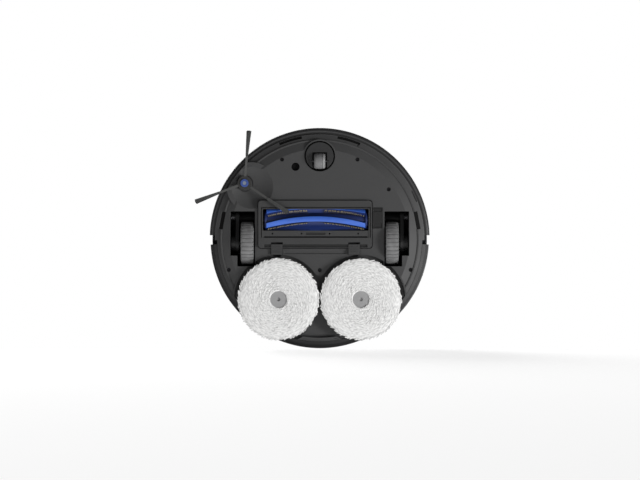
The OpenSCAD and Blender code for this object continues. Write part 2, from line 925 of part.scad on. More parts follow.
module wheel_hub_left() {
    mirror([1, 0, 0])
        wheel_hub();
}

module wheel_hub_right() {
    wheel_hub();
}

module wheel_tyre() {
    color("#5c5e60")
        translate([wheel_x, wheel_y, wheel_r])
            rotate([0, 90, 0])
                ring(wheel_r - tyre_t, wheel_r, -wheel_w / 2, wheel_w / 2);
}

module wheel_tyre_left() {
    mirror([1, 0, 0])
        wheel_tyre();
}

module wheel_tyre_right() {
    wheel_tyre();
}

// Torsion springs wound round the suspension pins, from touching turns.
module suspension_springs() {
    color("#b8bcc0")
        both_sides()
            translate([arm_x1 + 0.3, pivot_y, pivot_z])
                rotate([0, 90, 0])
                    rotate_extrude()
                        for (i = [0 : 3])
                            translate([4.5, 1 + 1.8 * i])
                                circle(r = 1, $fn = 24);
}

module mop_gearbox() {
    z0 = recess_top + wall + 1.4;
    color("#45484c")
        difference() {
            union() {
                box([-pad_x - 18, pad_x + 18], [pad_y - 17, pad_y + 17], [z0, z0 + 26]);
                box([-9, 9], [pad_y - 32, pad_y - 16], [z0, z0 + 9]);
            }
            for (s = [-1, 1])
                translate([s * pad_x, pad_y, 0])
                    cylinder(r = 5 + run, h = z0 + 20);
            translate([0, pad_y - 24, 0])
                cylinder(r = 3 + run, h = 80);
        }
}

module lift_screw() {
    z0 = recess_top + wall + 0.4;
    color("#b9bcbf")
        translate([0, pad_y - 24, z0]) {
            cylinder(r = 3, h = lidar_floor - z0 - 14);
            translate([0, 0, lidar_floor - z0 - 16])
                cylinder(r = 7, h = 12);
        }
}

module mop_plate(s) {
    color("#74777a")
        translate([s * pad_x, pad_y, 0])
            difference() {
                union() {
                    translate([0, 0, pad_t])
                        cylinder(r = pad_d / 2 - 5, h = 3);
                    translate([0, 0, 2.4])
                        cylinder(r = 13.3, h = pad_t - 1);
                    translate([0, 0, pad_t])
                        cylinder(r = 5, h = recess_top + wall + 17 - pad_t);
                }
                translate([0, 0, 0])
                    cylinder(r = 3, h = 4.4);
            }
}

module mop_plate_left() {
    mop_plate(-1);
}

module mop_plate_right() {
    mop_plate(1);
}

module mop_pad(s) {
    color("#e6e4e0")
        translate([s * pad_x, pad_y, 0])
            ring(13.6, pad_d / 2, 0, pad_t - 0.05);
}

module mop_pad_left() {
    mop_pad(-1);
}

module mop_pad_right() {
    mop_pad(1);
}

module floor_sensors() {
    color("#111215") {
        front_window(body_r - 12, body_r - 8.3, plate_z + 8.4, plate_z + 9.9);
        side_window(-0.1, 0.4, 1.4);
        translate([-38.5, -115, plate_z + 5])
            cylinder(r = 6.2, h = 3);
    }
}

module charging_contacts() {
    color("#c9b27a")
        for (s = [-1, 1])
            rotate([0, 0, s * contact_turn])
                box([-7, 7], [body_r - 2.4, body_r - 1], [40.3, 54.3]);
}

module base_screws() {
    color("#9da0a4")
        for (p = screws)
            translate([p[0], p[1], band_z(norm(p)) + 3.2])
                difference() {
                    union() {
                        cylinder(r = 2.9, h = 1.8);
                        cylinder(r = 1.3, h = 10);
                    }
                    translate([0, 0, -1])
                        cylinder(r = 1.5, h = 2, $fn = 6);
                }
}

module lidar_base() {
    color("#1f2123")
        translate([0, lidar_y, 0])
            difference() {
                union() {
                    ring(lidar_cup_r - 4, lidar_ring_r, shell_h + 0.05, lidar_ring_z);
                    ring(lidar_cup_r - 2, lidar_cup_r, lidar_floor, shell_h + 1);
                    translate([0, 0, lidar_floor])
                        cylinder(r = lidar_cup_r, h = 2);
                    translate([0, 0, lidar_floor])
                        cylinder(r = 4, h = lidar_h + 2);
                }
                for (a = [45 : 90 : 315])
                    rotate([0, 0, a])
                        translate([lidar_cup_r - 2, 0, lidar_ring_z - 3])
                            cylinder(r = 2.3, h = 10);
                translate([pulley_x, 0, 0])
                    cylinder(r = 1.5 + run, h = 100);
            }
}

module lidar_rotor() {
    color("#17181a")
        translate([0, lidar_y, 0])
            difference() {
                union() {
                    translate([0, 0, belt_z])
                        cylinder(r = drum_r, h = 5);
                    translate([0, 0, belt_z + 4.8])
                        cylinder(r = lidar_cup_r - 6, h = 3);
                    intersection() {
                        translate([0, 0, belt_z + 7])
                            cylinder(r = lidar_cup_r - 8, h = lidar_cap_z - belt_z - 8.6);
                        union() {
                            box([-26, 26], [-14, 14], [belt_z + 7, lidar_cap_z - 1.6]);
                            for (x = [-12, 12])
                                translate([x, 0, (shell_h + lidar_cap_z) / 2 + 1])
                                    rotate([90, 0, 0])
                                        cylinder(r = 4.5, h = 22);
                        }
                    }
                }
                cylinder(r = 4 + run, h = lidar_floor + lidar_h + 2.4);
            }
}

module lidar_cap() {
    color("#1d1f21")
        translate([0, lidar_y, 0]) {
            rotate_extrude()
                polygon(concat(
                    [[0, lidar_cap_z]],
                    [[lidar_r - 1, lidar_cap_z], [lidar_r, lidar_cap_z + 1]],
                    arc([lidar_r - 2, lidar_cap_z + 3], 2, 0, 90),
                    [[0, lidar_cap_z + 5]]
                ));
            for (a = [45 : 90 : 315])
                rotate([0, 0, a])
                    translate([lidar_cup_r - 2, 0, lidar_ring_z - 1.2])
                        cylinder(r = 1.8, h = lidar_cap_z - lidar_ring_z + 1.6);
        }
}

module lidar_pulley() {
    color("#8d9094")
        translate([pulley_x, lidar_y, 0]) {
            translate([0, 0, belt_z])
                cylinder(r = pulley_r, h = 4.2);
            translate([0, 0, lidar_floor - 4])
                cylinder(r = 1.5, h = belt_z - lidar_floor + 5);
        }
}

module belt_outline(r_drum, r_pulley) {
    hull() {
        circle(r_drum, $fn = 48);
        translate([pulley_x, 0])
            circle(r_pulley, $fn = 24);
    }
}

module lidar_belt() {
    color("#2e3033")
        translate([0, lidar_y, belt_z + 1])
            linear_extrude(2.6)
                difference() {
                    belt_outline(drum_r + 1.5, pulley_r + 1.5);
                    belt_outline(drum_r + 0.4, pulley_r + 0.4);
                }
}

module push_button(b) {
    translate([b[0], button_y, 0]) {
        translate([0, 0, cover_floor_z - 1])
            cylinder(r = b[1], h = shell_h - cover_floor_z + 1.2);
        translate([0, 0, cover_floor_z - 8])
            cylinder(r = 2.5, h = 8);
    }
}

module power_button() {
    color("#3a3d40")
        push_button(buttons[0]);
}

module home_button() {
    color("#3a3d40")
        push_button(buttons[1]);
}

module bin_bay() {
    color("#34373a")
        difference() {
            box([bay_x0, bay_x1], [bay_y0, bay_y1], [bay_floor, cover_under_z - 0.1]);
            box([bay_x0 + bay_t, bay_x1 - bay_t], [bay_y0 + bay_t, bay_y1 - bay_t], [bay_floor + bay_t, 200]);
            box(mouth_x, [bay_y0 - 1, bay_y0 + 5], [mouth_z[0], mouth_z[1]]);
            // air passes from the filter to the fan
            translate([bay_x1 - 5, bin_y0 + bin_d / 2, fan_z])
                rotate([0, 90, 0])
                    cylinder(r = 10, h = 10);
        }
}

module bin_body() {
    t = 1.6;
    color("#5a6068", 0.8)
        difference() {
            box([bin_x0, bin_x0 + bin_w], [bin_y0, bin_y0 + bin_d], [bin_z0, bin_top - 3]);
            box([bin_x0 + t, bin_x0 + bin_w - t], [bin_y0 + t, bin_y0 + bin_d - t], [bin_z0 + t, 200]);
            box([mouth_x[0] + 1, mouth_x[1] - 1], [bin_y0 - 1, bin_y0 + 4], [mouth_z[0] + 1, mouth_z[1] - 1]);
            box([bin_x0 + bin_w - 4, bin_x0 + bin_w + 1], [bin_y0 + 8, bin_y0 + bin_d - 8], [42, 70]);
        }
}

module bin_lid() {
    x = [bin_x0 + 20, bin_x0 + bin_w - 20];
    color("#6a7078")
        difference() {
            union() {
                difference() {
                    box([bin_x0, bin_x0 + bin_w], [bin_y0, bin_y0 + bin_d], [bin_top - 2.95, bin_top]);
                    box(x, [bin_y0 + 12, bin_y0 + bin_d - 12], [bin_top - 2.2, 200]);
                }
                // lugs that the handle's pins turn in
                for (x0 = [x[0] + 0.6, x[1] - 3.6])
                    box([x0, x0 + 3], [handle_y - 1.8, handle_y + 1.8], [bin_top - 2.4, handle_z + 1.5]);
            }
            translate([x[0], handle_y, handle_z])
                rotate([0, 90, 0])
                    cylinder(r = 0.8 + run, h = x[1] - x[0]);
        }
}

module bin_filter() {
    x1 = bin_x0 + bin_w;
    color("#e8e8e4")
        box([x1 - 12, x1 - 1.9], [bin_y0 + 6, bin_y0 + bin_d - 6], [40, 72]);
}

module bin_handle() {
    x = [bin_x0 + 24, bin_x0 + bin_w - 24];
    y1 = bin_y0 + bin_d - 15;
    r = 1.4;
    color("#2b62c4") {
        difference() {
            union() {
                box(x, [handle_y, y1], [handle_z - r, handle_z + r]);
                translate([x[0], handle_y, handle_z])
                    rotate([0, 90, 0])
                        cylinder(r = r, h = x[1] - x[0]);
            }
            box([x[0] + 6, x[1] - 6], [handle_y - 5, y1 - 6], [0, 200]);
        }
        // pins at the ends of its two legs
        for (x0 = [x[0] - 3, x[1] - 1])
            translate([x0, handle_y, handle_z])
                rotate([0, 90, 0])
                    cylinder(r = 0.8, h = 4);
    }
}

module fan_housing() {
    color("#606468")
        translate([bay_x1 + 0.5, bin_y0 + bin_d / 2, fan_z])
            rotate([0, 90, 0])
                difference() {
                    union() {
                        cylinder(r = 25, h = 18);
                        translate([0, 0, 17])
                            cylinder(r = 15, h = 36);
                    }
                    translate([0, 0, 2])
                        cylinder(r = 22.5, h = 14);
                    translate([0, 0, -1])
                        cylinder(r = 9, h = 5);
                    cylinder(r = 2 + run, h = 30);
                }
}

module fan_impeller() {
    color("#9a9da1")
        translate([bay_x1 + 0.5, bin_y0 + bin_d / 2, fan_z])
            rotate([0, 90, 0])
                union() {
                    translate([0, 0, 11.5])
                        cylinder(r = 21, h = 2);
                    for (i = [0 : 8])
                        rotate([0, 0, 40 * i])
                            translate([6, 0, 4])
                                cube([14, 1.2, 8]);
                    translate([0, 0, 5])
                        cylinder(r = 5, h = 8);
                    translate([0, 0, 10])
                        cylinder(r = 2, h = 18);
                }
}

module battery() {
    color("#2a3f78")
        translate([0, 0, plate_top + 1.5])
            linear_extrude(38)
                soft_rect([-70, 70], [-103.5, -66.5], 4);
}

module main_board() {
    color("#1f6b3a") {
        difference() {
            intersection() {
                box([-90, 90], [-150, -70], [64, 65.6]);
                cylinder(r = ring_r - 6, h = 100);
            }
            translate([0, caster_y, 0])
                cylinder(r = 8, h = 100);
        }
        for (p = [[-50, -100, 16], [-10, -92, 20], [40, -104, 14]])
            translate([p[0], p[1], 65.5])
                cube([p[2], p[2], 2]);
    }
}

module water_tank() {
    z0 = recess_top + wall + 0.2;
    color("#7d8790", 0.7)
        difference() {
            intersection() {
                box([-80, 80], [pad_y + 22, pad_y + 60], [z0, lidar_floor - 2]);
                cylinder(r = ring_r - 6, h = 200);
            }
            intersection() {
                box([-78, 78], [pad_y + 24, pad_y + 58], [z0 + 2, lidar_floor - 4]);
                cylinder(r = ring_r - 8, h = 200);
            }
        }
}

module water_pump() {
    color("#3a3d41")
        translate([112, pad_y - 12, recess_top + wall + 0.2])
            union() {
                cylinder(r = 12, h = 14);
                cylinder(r = 9, h = 30);
            }
}

base_shell();
rear_skirt();
top_cover();
top_lid();
bumper_shell();
bumper_window();
bumper_springs();
brush_guard();
guard_latch_left();
guard_latch_right();
brush_drive_cover();
brush_chamber();
brush_motor();
roller_core();
roller_fins();
roller_bristles();
side_brush_motor();
side_brush_hub();
side_brush_arms();
side_brush_bristles();
side_brush_screw();
caster_fork();
caster_wheel();
caster_axle();
wheel_housing_left();
wheel_housing_right();
drive_gearbox_left();
drive_gearbox_right();
wheel_hub_left();
wheel_hub_right();
wheel_tyre_left();
wheel_tyre_right();
suspension_springs();
mop_gearbox();
lift_screw();
mop_plate_left();
mop_plate_right();
mop_pad_left();
mop_pad_right();
floor_sensors();
charging_contacts();
base_screws();
lidar_base();
lidar_rotor();
lidar_cap();
lidar_pulley();
lidar_belt();
power_button();
home_button();
bin_bay();
bin_body();
bin_lid();
bin_filter();
bin_handle();
fan_housing();
fan_impeller();
battery();
main_board();
water_tank();
water_pump();
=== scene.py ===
# %% [markdown]
# # A round floor robot, shown from below
# The machine is a flat black disc: a main roller behind a guard, one side brush, two drive
# wheels, a caster and two spinning mop pads. The engineering model already gives every hard
# piece its place in metres, so this lesson loads it, keeps the shapes that are right, replaces
# the soft and fine ones (pads, bristles, ribs, tyres) and gives each surface its own finish.

import math
import random

import bpy
import numpy as np
from mathutils import Matrix, Vector


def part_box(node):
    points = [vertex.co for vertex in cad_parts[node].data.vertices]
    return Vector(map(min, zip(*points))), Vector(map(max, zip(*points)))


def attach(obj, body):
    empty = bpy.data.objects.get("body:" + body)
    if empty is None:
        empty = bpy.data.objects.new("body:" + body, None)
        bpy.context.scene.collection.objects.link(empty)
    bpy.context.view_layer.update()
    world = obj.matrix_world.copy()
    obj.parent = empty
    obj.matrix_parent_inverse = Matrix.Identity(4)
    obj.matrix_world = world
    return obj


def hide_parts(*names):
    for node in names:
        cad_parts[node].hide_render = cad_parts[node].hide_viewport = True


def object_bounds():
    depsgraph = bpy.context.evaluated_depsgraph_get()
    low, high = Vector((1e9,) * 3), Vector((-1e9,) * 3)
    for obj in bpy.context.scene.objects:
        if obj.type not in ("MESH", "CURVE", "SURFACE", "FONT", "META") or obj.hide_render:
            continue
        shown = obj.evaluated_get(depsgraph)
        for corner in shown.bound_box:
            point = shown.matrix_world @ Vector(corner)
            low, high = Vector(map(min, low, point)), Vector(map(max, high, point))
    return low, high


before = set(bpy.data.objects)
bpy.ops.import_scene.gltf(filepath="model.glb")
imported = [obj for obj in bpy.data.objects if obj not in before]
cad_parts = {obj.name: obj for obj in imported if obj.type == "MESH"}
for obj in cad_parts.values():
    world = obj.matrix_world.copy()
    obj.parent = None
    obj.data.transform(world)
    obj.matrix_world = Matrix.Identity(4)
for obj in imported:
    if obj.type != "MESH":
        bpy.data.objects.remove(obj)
cad_low, cad_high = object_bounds()
print("nodes", len(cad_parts), "box in mm", [round(v * 1000) for v in cad_high - cad_low])

# %% [markdown]
# ## Camera
# A long lens looks straight up at the underside, with the front of the machine at the top of
# the picture. A long lens is chosen because it keeps the wheels and pads free of perspective.

# %% Camera
MM = 0.001
LENS, SENSOR = 135, 36
PICTURE_WIDTH = 1.0176
BASE_PLANE = 13 * MM
AIM_X, AIM_Y = 0.5 * MM, 1.6 * MM
camera = bpy.data.objects.new("camera", bpy.data.cameras.new("camera"))
bpy.context.scene.collection.objects.link(camera)
camera.data.lens = LENS
camera.data.sensor_width = SENSOR
camera.location = (AIM_X, AIM_Y, BASE_PLANE - PICTURE_WIDTH * LENS / SENSOR)
camera.rotation_euler = (math.pi, 0, 0)
bpy.context.scene.camera = camera
bpy.context.scene.view_settings.view_transform = "Standard"
print("camera", round(-camera.location.z, 2), "m below the floor plane")

# %% [markdown]
# ## Shader maths
# A finish is built from nodes. Wrapping a socket in a small class lets plain sums such as
# `1 - wear` add the Math nodes, so a finish reads like a formula instead of a wiring list.


# %% A socket that understands sums
class Signal:
    """One output of a node, which can be used in sums."""

    def __init__(self, bench, socket):
        self.bench = bench
        self.socket = socket

    def maths(self, operation, first, second):
        return self.bench.node("ShaderNodeMath", {"operation": operation}, {0: first, 1: second})

    def __add__(self, other):
        return self.maths("ADD", self, other)

    def __radd__(self, other):
        return self.maths("ADD", other, self)

    def __sub__(self, other):
        return self.maths("SUBTRACT", self, other)

    def __rsub__(self, other):
        return self.maths("SUBTRACT", other, self)

    def __mul__(self, other):
        return self.maths("MULTIPLY", self, other)

    def __rmul__(self, other):
        return self.maths("MULTIPLY", other, self)

    def __gt__(self, other):
        return self.maths("GREATER_THAN", self, other)

    def __lt__(self, other):
        return self.maths("LESS_THAN", self, other)

    def between(self, low, high):
        """0 below low, 1 above high and smooth in the middle."""
        return self.bench.node(
            "ShaderNodeMapRange",
            {"interpolation_type": "SMOOTHSTEP"},
            {"Value": self, "From Min": low, "From Max": high},
        )


# %% [markdown]
# ## A bench for finishes
# Every finish starts the same way: a material with a Principled shader, and patterns that read
# Object coordinates, which are metres here. One `node` method makes any node, so the finishes
# below stay short.


# %% The bench
class Bench:
    """A material while it is being made."""

    def __init__(self, name):
        self.material = bpy.data.materials.new(name)
        self.material.use_nodes = True
        self.tree = self.material.node_tree
        self.shader = self.tree.nodes["Principled BSDF"]
        self.place = self.node("ShaderNodeTexCoord", output="Object")

    def node(self, kind, settings=None, inputs=None, output=0):
        made = self.tree.nodes.new(kind)
        for key, value in (settings or {}).items():
            if key == "stops":
                for stop, (at, colour) in zip(made.color_ramp.elements, value):
                    stop.position, stop.color = at, colour
            else:
                setattr(made, key, value)
        for key, value in (inputs or {}).items():
            if isinstance(value, Signal):
                self.tree.links.new(value.socket, made.inputs[key])
            else:
                made.inputs[key].default_value = value
        return Signal(self, made.outputs[output])

    def noise(self, grain, detail=2.0, stretch=None, place=None):
        """A cloudy pattern whose spots are about `grain` metres across."""
        place = place or self.place
        if stretch:
            place = self.node("ShaderNodeMapping", {}, {"Vector": place, "Scale": stretch})
        return self.node(
            "ShaderNodeTexNoise",
            {},
            {"Vector": place, "Scale": 1 / grain, "Detail": detail},
            output="Fac",
        )

    def blend(self, amount, first, second):
        """A colour between two colours."""
        return self.node(
            "ShaderNodeMix",
            {"data_type": "RGBA"},
            {"Factor": amount, 6: first, 7: second},
            output=2,
        )

    def edges(self, radius):
        """The normal rounded at hard edges, and a mask that is 1 on those edges."""
        soft = self.node("ShaderNodeBevel", {"samples": 4}, {"Radius": radius})
        hard = self.node("ShaderNodeNewGeometry", output="Normal")
        same = self.node(
            "ShaderNodeVectorMath", {"operation": "DOT_PRODUCT"}, {0: soft, 1: hard}, "Value"
        )
        return soft, (1 - same).between(0.015, 0.22)

    def feed(self, **sockets):
        """Links or sets sockets of the shader: an underscore stands for a space."""
        for key, value in sockets.items():
            socket = self.shader.inputs[key.replace("_", " ")]
            if isinstance(value, Signal):
                self.tree.links.new(value.socket, socket)
            else:
                socket.default_value = value
        return self.material

    def relief(self, height, depth, normal=None):
        """A Bump node for a height pattern of `depth` metres."""
        inputs = {"Height": height, "Distance": depth, "Strength": 1.0}
        if normal:
            inputs["Normal"] = normal
        return self.node("ShaderNodeBump", {}, inputs)


def rgb(*values):
    """A colour with its alpha."""
    return (*values, 1.0)


def tint(colour, factor):
    return rgb(*(min(1.0, v * factor) for v in colour))


print("bench ready")

# %% [markdown]
# ## Moulded plastic
# The black and grey shells come out of spark-eroded moulds: a fine even grain, slightly
# uneven gloss, and edges polished lighter by handling. The Bevel node rounds the hard edges of
# the engineering shapes for the light only, and gives the mask for the wear. Two extras serve
# the underside, and both are painted light. Thin rings follow the round rim: lighter ones are
# painted highlights where the rim's moulding steps catch the light, and a dark one is painted
# shade in the gap between them. Grooves above a stated height get painted shade that fades to
# black.


# %% Moulded plastic
RING_BLUR = 0.3


def moulded(
    name,
    colour,
    gloss=0.5,
    grain=0.5,
    depth=0.03,
    wear=0.5,
    edge=0.5,
    dust=0.25,
    shine=0.42,
    painted_rings=(),
    painted_shade_above=None,
):
    """Sizes in millimetres: the grain's spots, its depth and the edge's radius.

    `painted_rings` are (inner, outer, factor) bands round the machine's middle: painted
    highlight where the factor is above 1 and painted shade where it is below. Above the height
    `painted_shade_above` the surface is in a groove, and painted shade fades it to black within
    half a millimetre.
    """
    bench = Bench(name)
    cloud = bench.noise(22 * MM, detail=3)
    speck = bench.noise(grain * MM, detail=1)
    fine = bench.noise(3 * MM, detail=4)
    normal, rim = bench.edges(edge * MM)
    worn = rim * fine.between(0.35, 0.62) * wear
    base = bench.blend(cloud * dust + speck * 0.12, tint(colour, 0.9), tint(colour, 1.22))
    base = bench.blend(worn, base, tint(colour, 2.1))
    # Painted highlight and painted shade: rings of lighter and darker tone round the rim.
    if painted_rings:
        flat = bench.node(
            "ShaderNodeVectorMath", {"operation": "MULTIPLY"}, {0: bench.place, 1: (1, 1, 0)}
        )
        out = bench.node("ShaderNodeVectorMath", {"operation": "LENGTH"}, {0: flat}, "Value")
        for low, high, factor in painted_rings:
            band = out.between((low - RING_BLUR) * MM, (low + RING_BLUR) * MM)
            band = band * (1 - out.between((high - RING_BLUR) * MM, (high + RING_BLUR) * MM))
            base = bench.blend(band, base, tint(colour, factor))
    # Painted shade: above this height the surface is in a groove and fades to black.
    if painted_shade_above:
        height = bench.node("ShaderNodeSeparateXYZ", {}, {0: bench.place}, output="Z")
        base = bench.blend(
            height.between(painted_shade_above * MM, (painted_shade_above + 0.5) * MM), base, tint(colour, 0.12)
        )
    return bench.feed(
        Base_Color=base,
        Roughness=(1 - gloss) + (cloud - 0.5) * 0.22 + (speck - 0.5) * 0.1 - worn * 0.12,
        Normal=bench.relief(speck, depth * MM, normal),
        Specular_IOR_Level=shine,
    )


# Painted rim light: two rings of painted highlight on the rim's moulding steps, and one of
# painted shade in the gap between them.
PAINTED_RIM_LIGHT = ((166.2, 167.4, 1.7), (168.2, 169.5, 0.1), (171.0, 172.2, 2.3))
base_texture = moulded(
    "underside_texture", (0.036, 0.036, 0.0365), gloss=0.42, grain=0.7, painted_rings=PAINTED_RIM_LIGHT
)
print("first finish", base_texture.name)

# %% [markdown]
# ## Gloss and smoked plastic
# The lid, the sensor windows and the dust bin are polished. What tells them apart from paint is
# the thin scatter of hairline scratches in the gloss, so the scratches change the roughness and
# leave the colour alone.


# %% Gloss plastic
def glossy(name, colour, gloss=0.85, edge=0.4, clear=0.0):
    bench = Bench(name)
    cloud = bench.noise(30 * MM, detail=2)
    across = bench.noise(1.2 * MM, detail=2, stretch=(0.04, 1.4, 1))
    along = bench.noise(1.5 * MM, detail=2, stretch=(1.4, 0.05, 1))
    scratch = across.between(0.66, 0.76) + along.between(0.68, 0.78)
    normal, rim = bench.edges(edge * MM)
    base = bench.blend(cloud, tint(colour, 0.85), tint(colour, 1.15))
    return bench.feed(
        Base_Color=bench.blend(rim * 0.35, base, tint(colour, 1.9)),
        Roughness=(1 - gloss) + (cloud - 0.5) * 0.08 + scratch * 0.16,
        Normal=bench.relief(cloud * 0.6 + scratch * 0.02, 0.05 * MM, normal),
        Coat_Weight=0.4,
        Transmission_Weight=clear,
    )


print("gloss plastic ready")

# %% [markdown]
# ## Rubber, metal, paper and cloth
# Rubber is dull and dusty, metal shows the direction in which it was drawn or turned, and the
# filter paper has fibres. Each gets its own pattern at its own scale.


# %% Rubber
def rubbery(name, colour, dust=0.5, grain=0.35, gloss=0.2):
    bench = Bench(name)
    cloud = bench.noise(9 * MM, detail=4)
    speck = bench.noise(grain * MM, detail=2)
    normal, rim = bench.edges(0.35 * MM)
    powder = cloud.between(0.4, 0.75) * dust + rim * 0.3
    return bench.feed(
        Base_Color=bench.blend(powder, tint(colour, 0.9), tint(colour, 1.6)),
        Roughness=(1 - gloss) + (speck - 0.5) * 0.2,
        Normal=bench.relief(speck + cloud * 0.4, 0.04 * MM, normal),
        Specular_IOR_Level=0.3,
    )


# %% Metal
def metal(name, colour, gloss=0.65, drawn=(1, 1, 12)):
    bench = Bench(name)
    lines = bench.noise(1.6 * MM, detail=3, stretch=drawn)
    cloud = bench.noise(6 * MM, detail=2)
    normal, rim = bench.edges(0.25 * MM)
    return bench.feed(
        Base_Color=bench.blend(cloud * 0.6 + rim * 0.3, tint(colour, 0.8), tint(colour, 1.1)),
        Roughness=(1 - gloss) + (lines - 0.5) * 0.3,
        Normal=bench.relief(lines, 0.01 * MM, normal),
        Metallic=1.0,
    )


# %% Paper and board
def fibrous(name, colour, grain=0.4):
    bench = Bench(name)
    fibre = bench.noise(grain * MM, detail=4, stretch=(1, 3, 1))
    stain = bench.noise(14 * MM, detail=3)
    return bench.feed(
        Base_Color=bench.blend(fibre * 0.5 + stain * 0.4, tint(colour, 0.78), tint(colour, 1.05)),
        Roughness=0.86 + (fibre - 0.5) * 0.12,
        Normal=bench.relief(fibre, 0.08 * MM),
    )


print("rubber, metal and paper ready")

# %% [markdown]
# ## Finishes on the engineering model
# Each hard node keeps its shape and gets its finish in its own material slot. The table lists
# finishes with the nodes that carry them, as a parts list does. The side brush's arms are the
# exception: they are darker near the hub, so their tone follows the distance from it.

# %% Finishes for the shells
INK = (0.010, 0.010, 0.011)
finishes = {
    base_texture: ["base_shell"],
    moulded("skirt_satin", (0.012, 0.012, 0.0125), gloss=0.5): ["rear_skirt"],
    moulded("cover_satin", (0.030, 0.031, 0.034), gloss=0.55, grain=0.35): ["top_cover"],
    glossy("lid_gloss", (0.016, 0.017, 0.019), gloss=0.8): ["top_lid"],
    # The bumper carries the same painted rim highlights and painted shade.
    moulded("bumper_satin", (0.018, 0.018, 0.0185), gloss=0.52, grain=0.4, painted_rings=PAINTED_RIM_LIGHT): [
        "bumper_shell"
    ],
    glossy("window_gloss", (0.004, 0.004, 0.005), gloss=0.9): ["bumper_window"],
    moulded("sensor_black", (0.003, 0.003, 0.003), gloss=0.3, wear=0.0, shine=0.1): [
        "floor_sensors"
    ],
    # The guard's grooves get painted shade above 10.3 mm.
    moulded("guard_satin", (0.029, 0.029, 0.0295), gloss=0.48, painted_shade_above=10.3): [
        "brush_guard",
        "guard_latch_left",
        "guard_latch_right",
        "brush_drive_cover",
    ],
    moulded("inner_black", INK, gloss=0.35): [
        "brush_chamber",
        "wheel_housing_left",
        "wheel_housing_right",
        "bin_bay",
    ],
    moulded("motor_grey", (0.11, 0.115, 0.122), gloss=0.45): [
        "brush_motor",
        "side_brush_motor",
        "fan_housing",
        "mop_gearbox",
        "water_pump",
    ],
    moulded("caster_grey", (0.013, 0.013, 0.0135), gloss=0.42): ["caster_fork"],
    moulded("gearbox_grey", (0.010, 0.010, 0.0105), gloss=0.4): [
        "drive_gearbox_left",
        "drive_gearbox_right",
    ],
    moulded("wheel_grey", (0.10, 0.103, 0.108), gloss=0.4): ["wheel_hub_left", "wheel_hub_right"],
    moulded("mop_grey", (0.27, 0.27, 0.272), gloss=0.4, wear=0.3): [
        "mop_plate_left",
        "mop_plate_right",
    ],
    moulded("turret_black", (0.016, 0.016, 0.018), gloss=0.5): ["lidar_base", "lidar_rotor"],
    glossy("turret_cap", (0.020, 0.021, 0.024), gloss=0.82): ["lidar_cap"],
    moulded("button_black", (0.050, 0.051, 0.055), gloss=0.6): ["power_button", "home_button"],
}
print(len(finishes), "plastic finishes")

# %% Finishes for the small and inner pieces
filter_paper = fibrous("filter_paper", (0.80, 0.79, 0.76))
spring_steel = metal("spring_steel", (0.20, 0.20, 0.21), gloss=0.55)
arms = Bench("arm_grey")
hub_low, hub_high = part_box("side_brush_hub")
hub_spot = (hub_low + hub_high) / 2
level_place = arms.node(
    "ShaderNodeVectorMath", {"operation": "MULTIPLY"}, {0: arms.place, 1: (1, 1, 0)}
)
away = arms.node(
    "ShaderNodeVectorMath",
    {"operation": "DISTANCE"},
    {0: level_place, 1: (hub_spot.x, hub_spot.y, 0)},
    "Value",
)
arm_speck = arms.noise(0.8 * MM, detail=3)
arm_finish = arms.feed(
    Base_Color=arms.blend(
        away.between(10.8 * MM, 11.6 * MM),
        arms.blend(arm_speck, rgb(0.010, 0.0095, 0.009), rgb(0.017, 0.016, 0.015)),
        arms.blend(arm_speck, rgb(0.036, 0.036, 0.035), rgb(0.056, 0.056, 0.054)),
    ),
    Roughness=0.62 + (arm_speck - 0.5) * 0.2,
    Normal=arms.relief(arm_speck, 0.04 * MM, arms.edges(0.3 * MM)[0]),
)
finishes.update(
    {
        arm_finish: ["side_brush_arms"],
        glossy("hub_blue", (0.026, 0.060, 0.24), gloss=0.6): ["side_brush_hub"],
        metal("screw_steel", (0.30, 0.34, 0.42), gloss=0.5): ["side_brush_screw"],
        metal("screw_black", (0.035, 0.035, 0.037), gloss=0.45): ["base_screws"],
        metal("pin_steel", (0.09, 0.09, 0.095), gloss=0.6, drawn=(12, 1, 1)): ["caster_axle"],
        spring_steel: ["suspension_springs", "bumper_springs"],
        metal("screw_drive", (0.50, 0.51, 0.53)): ["lift_screw"],
        metal("contact_metal", (0.80, 0.72, 0.55), gloss=0.75, drawn=(1, 1, 8)): [
            "charging_contacts"
        ],
        metal("pulley_metal", (0.62, 0.63, 0.65)): ["lidar_pulley"],
        rubbery("belt_rubber", (0.030, 0.030, 0.032)): ["lidar_belt"],
        glossy("bin_smoke", (0.090, 0.095, 0.105), gloss=0.85): ["bin_body", "bin_lid"],
        glossy("handle_blue", (0.030, 0.13, 0.52), gloss=0.65): ["bin_handle"],
        filter_paper: ["bin_filter"],
        moulded("fan_plastic", (0.42, 0.425, 0.435), gloss=0.5): ["fan_impeller"],
        glossy("battery_wrap", (0.035, 0.080, 0.24), gloss=0.6): ["battery"],
        glossy("board_green", (0.020, 0.13, 0.055), gloss=0.6): ["main_board"],
        glossy("tank_smoke", (0.18, 0.20, 0.23), gloss=0.8): ["water_tank"],
    }
)
for finish, nodes in finishes.items():
    for node in nodes:
        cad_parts[node].material_slots[0].material = finish
print(sum(len(nodes) for nodes in finishes.values()), "nodes painted")

# %% [markdown]
# ## Modelling helpers
# Operators act on whatever is selected, so each new piece starts from an empty selection, and
# faces are picked in code by their place. A primitive's own place is written into its mesh at
# once, which keeps every finished piece at the origin like the engineering nodes.


# %% Start, pick and settle
def empty_hands():
    """Leaves edit mode and selects nothing."""
    if bpy.context.object and bpy.context.object.mode != "OBJECT":
        bpy.ops.object.mode_set(mode="OBJECT")
    bpy.ops.object.select_all(action="DESELECT")


def start(name, operator, **size):
    """A primitive with its place in its mesh."""
    empty_hands()
    operator(**size)
    piece = bpy.context.object
    piece.name = piece.data.name = name
    bpy.ops.object.transform_apply(location=True, rotation=True, scale=True)
    return piece


